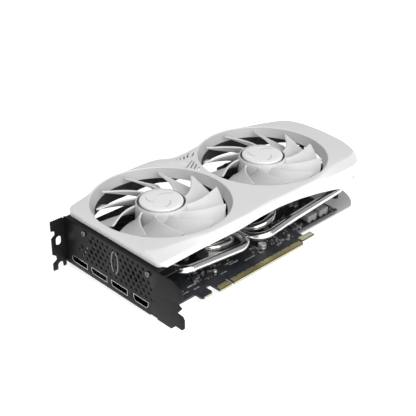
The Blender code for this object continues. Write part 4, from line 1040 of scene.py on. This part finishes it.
holes = vent_loops() + [disc(place, 1.55) for place in SCREW_EARS]
holes += [nicked_loop(centre, SOCKET_LOW + 0.4, 16.6, 4.8) for centre in NICKED_CENTRES]
holes.append(tapered_loop(TAPERED_CENTRE, SOCKET_LOW + 0.4, 14.6, 5.4))
bracket = pierced(PLATE_OUTLINE, holes, lambda a, b, c: (c, a, b), SHEET, 0.12)

# the flange: a strip bent over along the top, drawn as a profile and run along the plate
flange = [(0.2, 29.6), (0.2, 30.6), (0.45, 31.4), (1.1, 31.86), (6.46, 31.86), (6.46, 31.04),
          (1.6, 31.04), (1.06, 30.6), (1.06, 29.6)]


def run_along(outline, start, end, form):
    """An outline of X and Z, run along Y."""
    piece = bmesh.new()
    face = piece.faces.new([piece.verts.new((x, start, z)) for x, z in outline])
    grown = bmesh.ops.extrude_face_region(piece, geom=[face])["geom"]
    bmesh.ops.translate(piece, vec=(0.0, end - start, 0.0), verts=only_verts(grown))
    bmesh.ops.recalc_face_normals(piece, faces=piece.faces)
    rims = [edge for edge in piece.edges if abs(edge.verts[0].co.y - edge.verts[1].co.y) < 1e-6]
    bmesh.ops.bevel(piece, geom=rims, offset=0.1, segments=2, profile=0.5, affect="EDGES",
                    material=-1)
    return merged(form, piece)


run_along(flange, 10.0, BEND - 1.0, bracket)

slot_x, slot_r, slot_z = -5.3, 2.2, EAR_LOW + 3.2
TAB = [
    (SHEET, BRACKET_HIGH - 1.4), (-1.2, BRACKET_HIGH - 0.4), (-1.6, BRACKET_HIGH),
    (-11.43, BRACKET_HIGH), (-11.43, 24.6), (-8.4, 23.6), (-8.4, 20.8), (-11.43, 18.6),
    (-11.43, 6.2), (-8.4, 4.0), (-8.0, 0.9), (-11.43, -1.2), (-11.43, EAR_LOW + 0.4),
    (-7.7, EAR_LOW),
] + [(slot_x + slot_r * cos(pi * k / 12), slot_z + slot_r * sin(pi * k / 12))
     for k in range(12, -1, -1)] + [
    (-2.9, EAR_LOW + 0.8), (-0.6, EAR_LOW + 0.8), (-0.3, EAR_LOW + 4.6), (SHEET, EAR_LOW + 5.4),
]
oval = [(-5.8 + 2.25 * cos(pi * k / 12), 15.4 + (1.25 if k < 12 else -1.25)
         + 2.25 * sin(pi * k / 12)) for k in range(24)]
merged(bracket, pierced(TAB, [oval], lambda a, b, c: (a, BEND - SHEET + c, b), SHEET, 0.12))
add_piece("slot_plate", bracket, paint, nodes=("slot_bracket",))

# a plain oval line pressed between the two clusters of slots
emblem_look = Look("line_grey", (0.22, 0.22, 0.22), 0.4)
emblem_look.mottle(1.0, (0.16, 0.16, 0.16), (0.30, 0.30, 0.30))
emblem_look.grain(0.3, 0.01, 0.1)
emblem = bmesh.new()
OVAL_Y, OVAL_Z = 50.6, 19.6
for start, end in ((-62, 84), (112, 254)):
    path = [(OVAL_Y + 3.3 * cos(radians(start + (end - start) * i / 24)),
             OVAL_Z + 8.2 * sin(radians(start + (end - start) * i / 24))) for i in range(25)]
    line = ring(emblem, [(*p, 0.0) for p in stroke_loop(path, 0.8)])
    bmesh.ops.triangle_fill(emblem, edges=line, use_beauty=True)
raised(emblem, 0.08)
bmesh.ops.transform(emblem, matrix=Matrix(((0, 0, -1, 0.02), (1, 0, 0, 0), (0, 1, 0, 0),
                                           (0, 0, 0, 1))), verts=emblem.verts)
bmesh.ops.recalc_face_normals(emblem, faces=emblem.faces)
add_piece("oval_line", emblem, emblem_look)

for k, (y, z) in enumerate(SCREW_EARS):
    form = screw(1.25, 1.95, 0.9, 0.5, 4.2, 0.66)
    bmesh.ops.transform(form, matrix=Matrix(((0, 0, 1, -1.3), (1, 0, 0, y), (0, 1, 0, z),
                                             (0, 0, 0, 1))), verts=form.verts)
    add_piece(f"bracket_bolt_{k + 1}", form, screw_look, nodes=(f"bracket_screw_{k + 1}",))

# ---------------------------------------------------------------------------------------------
# Monitor sockets: pressed, plated shells soldered to the board, each with a black contact
# tongue and a row of bright pins. Their rims stand flush in the bracket's holes.

shell_metal = Look("plated_shell", (0.62, 0.62, 0.62), 0.22, 1.0)
shell_metal.mottle(2.0, (0.55, 0.55, 0.55), (0.70, 0.70, 0.70))
shell_metal.grain(0.3, 0.006, 0.14)


SHELL_FRONT = SHEET + 0.3
WAY_END = 9.9


def socket(name, loop, centre, width, height, depth, pin_rows):
    """A shell whose rim passes through the bracket, its back, tongue and pins."""
    body = loop(centre, SOCKET_LOW, width, height)
    rim_out = loop(centre, SOCKET_LOW + 0.44, width - 0.88, height - 0.88)
    rim_in = loop(centre, SOCKET_LOW + 0.8, width - 1.6, height - 1.6)
    form = bmesh.new()
    rings = [ring(form, [(x, a, b) for a, b in points]) for x, points in (
        (SHELL_FRONT + depth, body), (SHELL_FRONT, body), (SHELL_FRONT, rim_out),
        (-0.12, rim_out), (-0.12, rim_in), (WAY_END, rim_in))]
    bridged(form, rings)
    for end in (rings[0], rings[-1]):
        form.faces.new([edge.verts[0] for edge in end])
    bmesh.ops.recalc_face_normals(form, faces=form.faces)
    add_piece(f"{name}_shell", form, shell_metal, nodes=(name,), crease=25.0)
    middle = SOCKET_LOW + height * 0.60
    tongue = box(bmesh.new(), (1.4, centre - width * 0.36, middle - 0.45),
                 (9.8, centre + width * 0.36, middle + 0.45), 0.12)
    box(tongue, (2.4, centre - width / 2 + 0.85, SOCKET_LOW + 0.85),
        (9.85, centre + width / 2 - 0.85, SOCKET_LOW + 1.15))
    add_piece(f"{name}_tongue", tongue, moulding)
    pins = bmesh.new()
    for row, count in pin_rows:
        for k in range(count):
            y = centre + width * 0.62 * ((k + 0.5) / count - 0.5)
            box(pins, (1.34, y - 0.22, middle + row - 0.12), (8.0, y + 0.22, middle + row + 0.12))
    add_piece(f"{name}_pins", pins, gold)


for k, centre in enumerate(NICKED_CENTRES):
    socket(f"displayport_{k + 1}", nicked_loop, centre, 17.4, 5.6, 15.0, ((-0.42, 10),))
socket("hdmi_port", tapered_loop, TAPERED_CENTRE, 15.4, 6.2, 12.5, ((-0.42, 10), (0.42, 9)))

# ---------------------------------------------------------------------------------------------
# Floor, lights and camera: a plain pale floor under the card, a soft white dome, a broad lamp in
# front and a second one above.

floor_form = bmesh.new()
bmesh.ops.create_grid(floor_form, x_segments=1, y_segments=1, size=6.0)
floor_mesh = bpy.data.meshes.new("floor")
floor_form.to_mesh(floor_mesh)
floor_form.free()
floor = bpy.data.objects.new("floor", floor_mesh)
bpy.context.scene.collection.objects.link(floor)
floor_look = Look("pale_floor", (0.92, 0.92, 0.92), 0.9)
floor_look.put({"Base_Color": floor_look.mix(floor_look.noise(400.0), (0.91, 0.91, 0.91),
                                             (0.93, 0.93, 0.93)),
                "Emission_Color": (1.0, 1.0, 1.0, 1.0), "Emission_Strength": 0.62})
floor_mesh.materials.append(floor_look.material)

world = bpy.data.worlds.new("dome")
bpy.context.scene.world = world
world.use_nodes = True
world.node_tree.nodes["Background"].inputs["Color"].default_value = (1.0, 1.0, 1.0, 1.0)
world.node_tree.nodes["Background"].inputs["Strength"].default_value = 0.38


def add_lamp(name, place, target, size, power):
    lamp = bpy.data.lights.new(name, "AREA")
    lamp.shape = "DISK"
    lamp.size = size
    lamp.energy = power
    holder = bpy.data.objects.new(name, lamp)
    holder.location = place
    holder.rotation_mode = "QUATERNION"
    holder.rotation_quaternion = (Vector(target) - Vector(place)).to_track_quat("-Z", "Y")
    bpy.context.scene.collection.objects.link(holder)


add_lamp("front_lamp", (-0.12, -1.05, 0.50), (0.0, 0.0, 0.02), 1.3, 10.5)
add_lamp("top_lamp", (0.0, -0.2, 1.15), (0.0, 0.0, 0.02), 1.1, 4.0)

TARGET = Vector((-0.032185, -0.0108, 0.0424))
DISTANCE = 0.6239
AZIMUTH, ELEVATION, ROLL = radians(-44.932), radians(29.731), radians(0.778)
back = Vector((sin(AZIMUTH) * cos(ELEVATION), -cos(AZIMUTH) * cos(ELEVATION), sin(ELEVATION)))
camera_data = bpy.data.cameras.new("camera")
camera_data.lens = 79.5
camera_data.sensor_width = 36.0
camera_data.clip_start = 0.01
camera = bpy.data.objects.new("camera", camera_data)
camera.rotation_mode = "QUATERNION"
camera.location = TARGET + back * DISTANCE
camera.rotation_quaternion = ((-back).to_track_quat("-Z", "Y")
                              @ Matrix.Rotation(ROLL, 3, "Z").to_quaternion())
bpy.context.scene.collection.objects.link(camera)
bpy.context.scene.camera = camera
bpy.context.scene.view_settings.view_transform = "Standard"
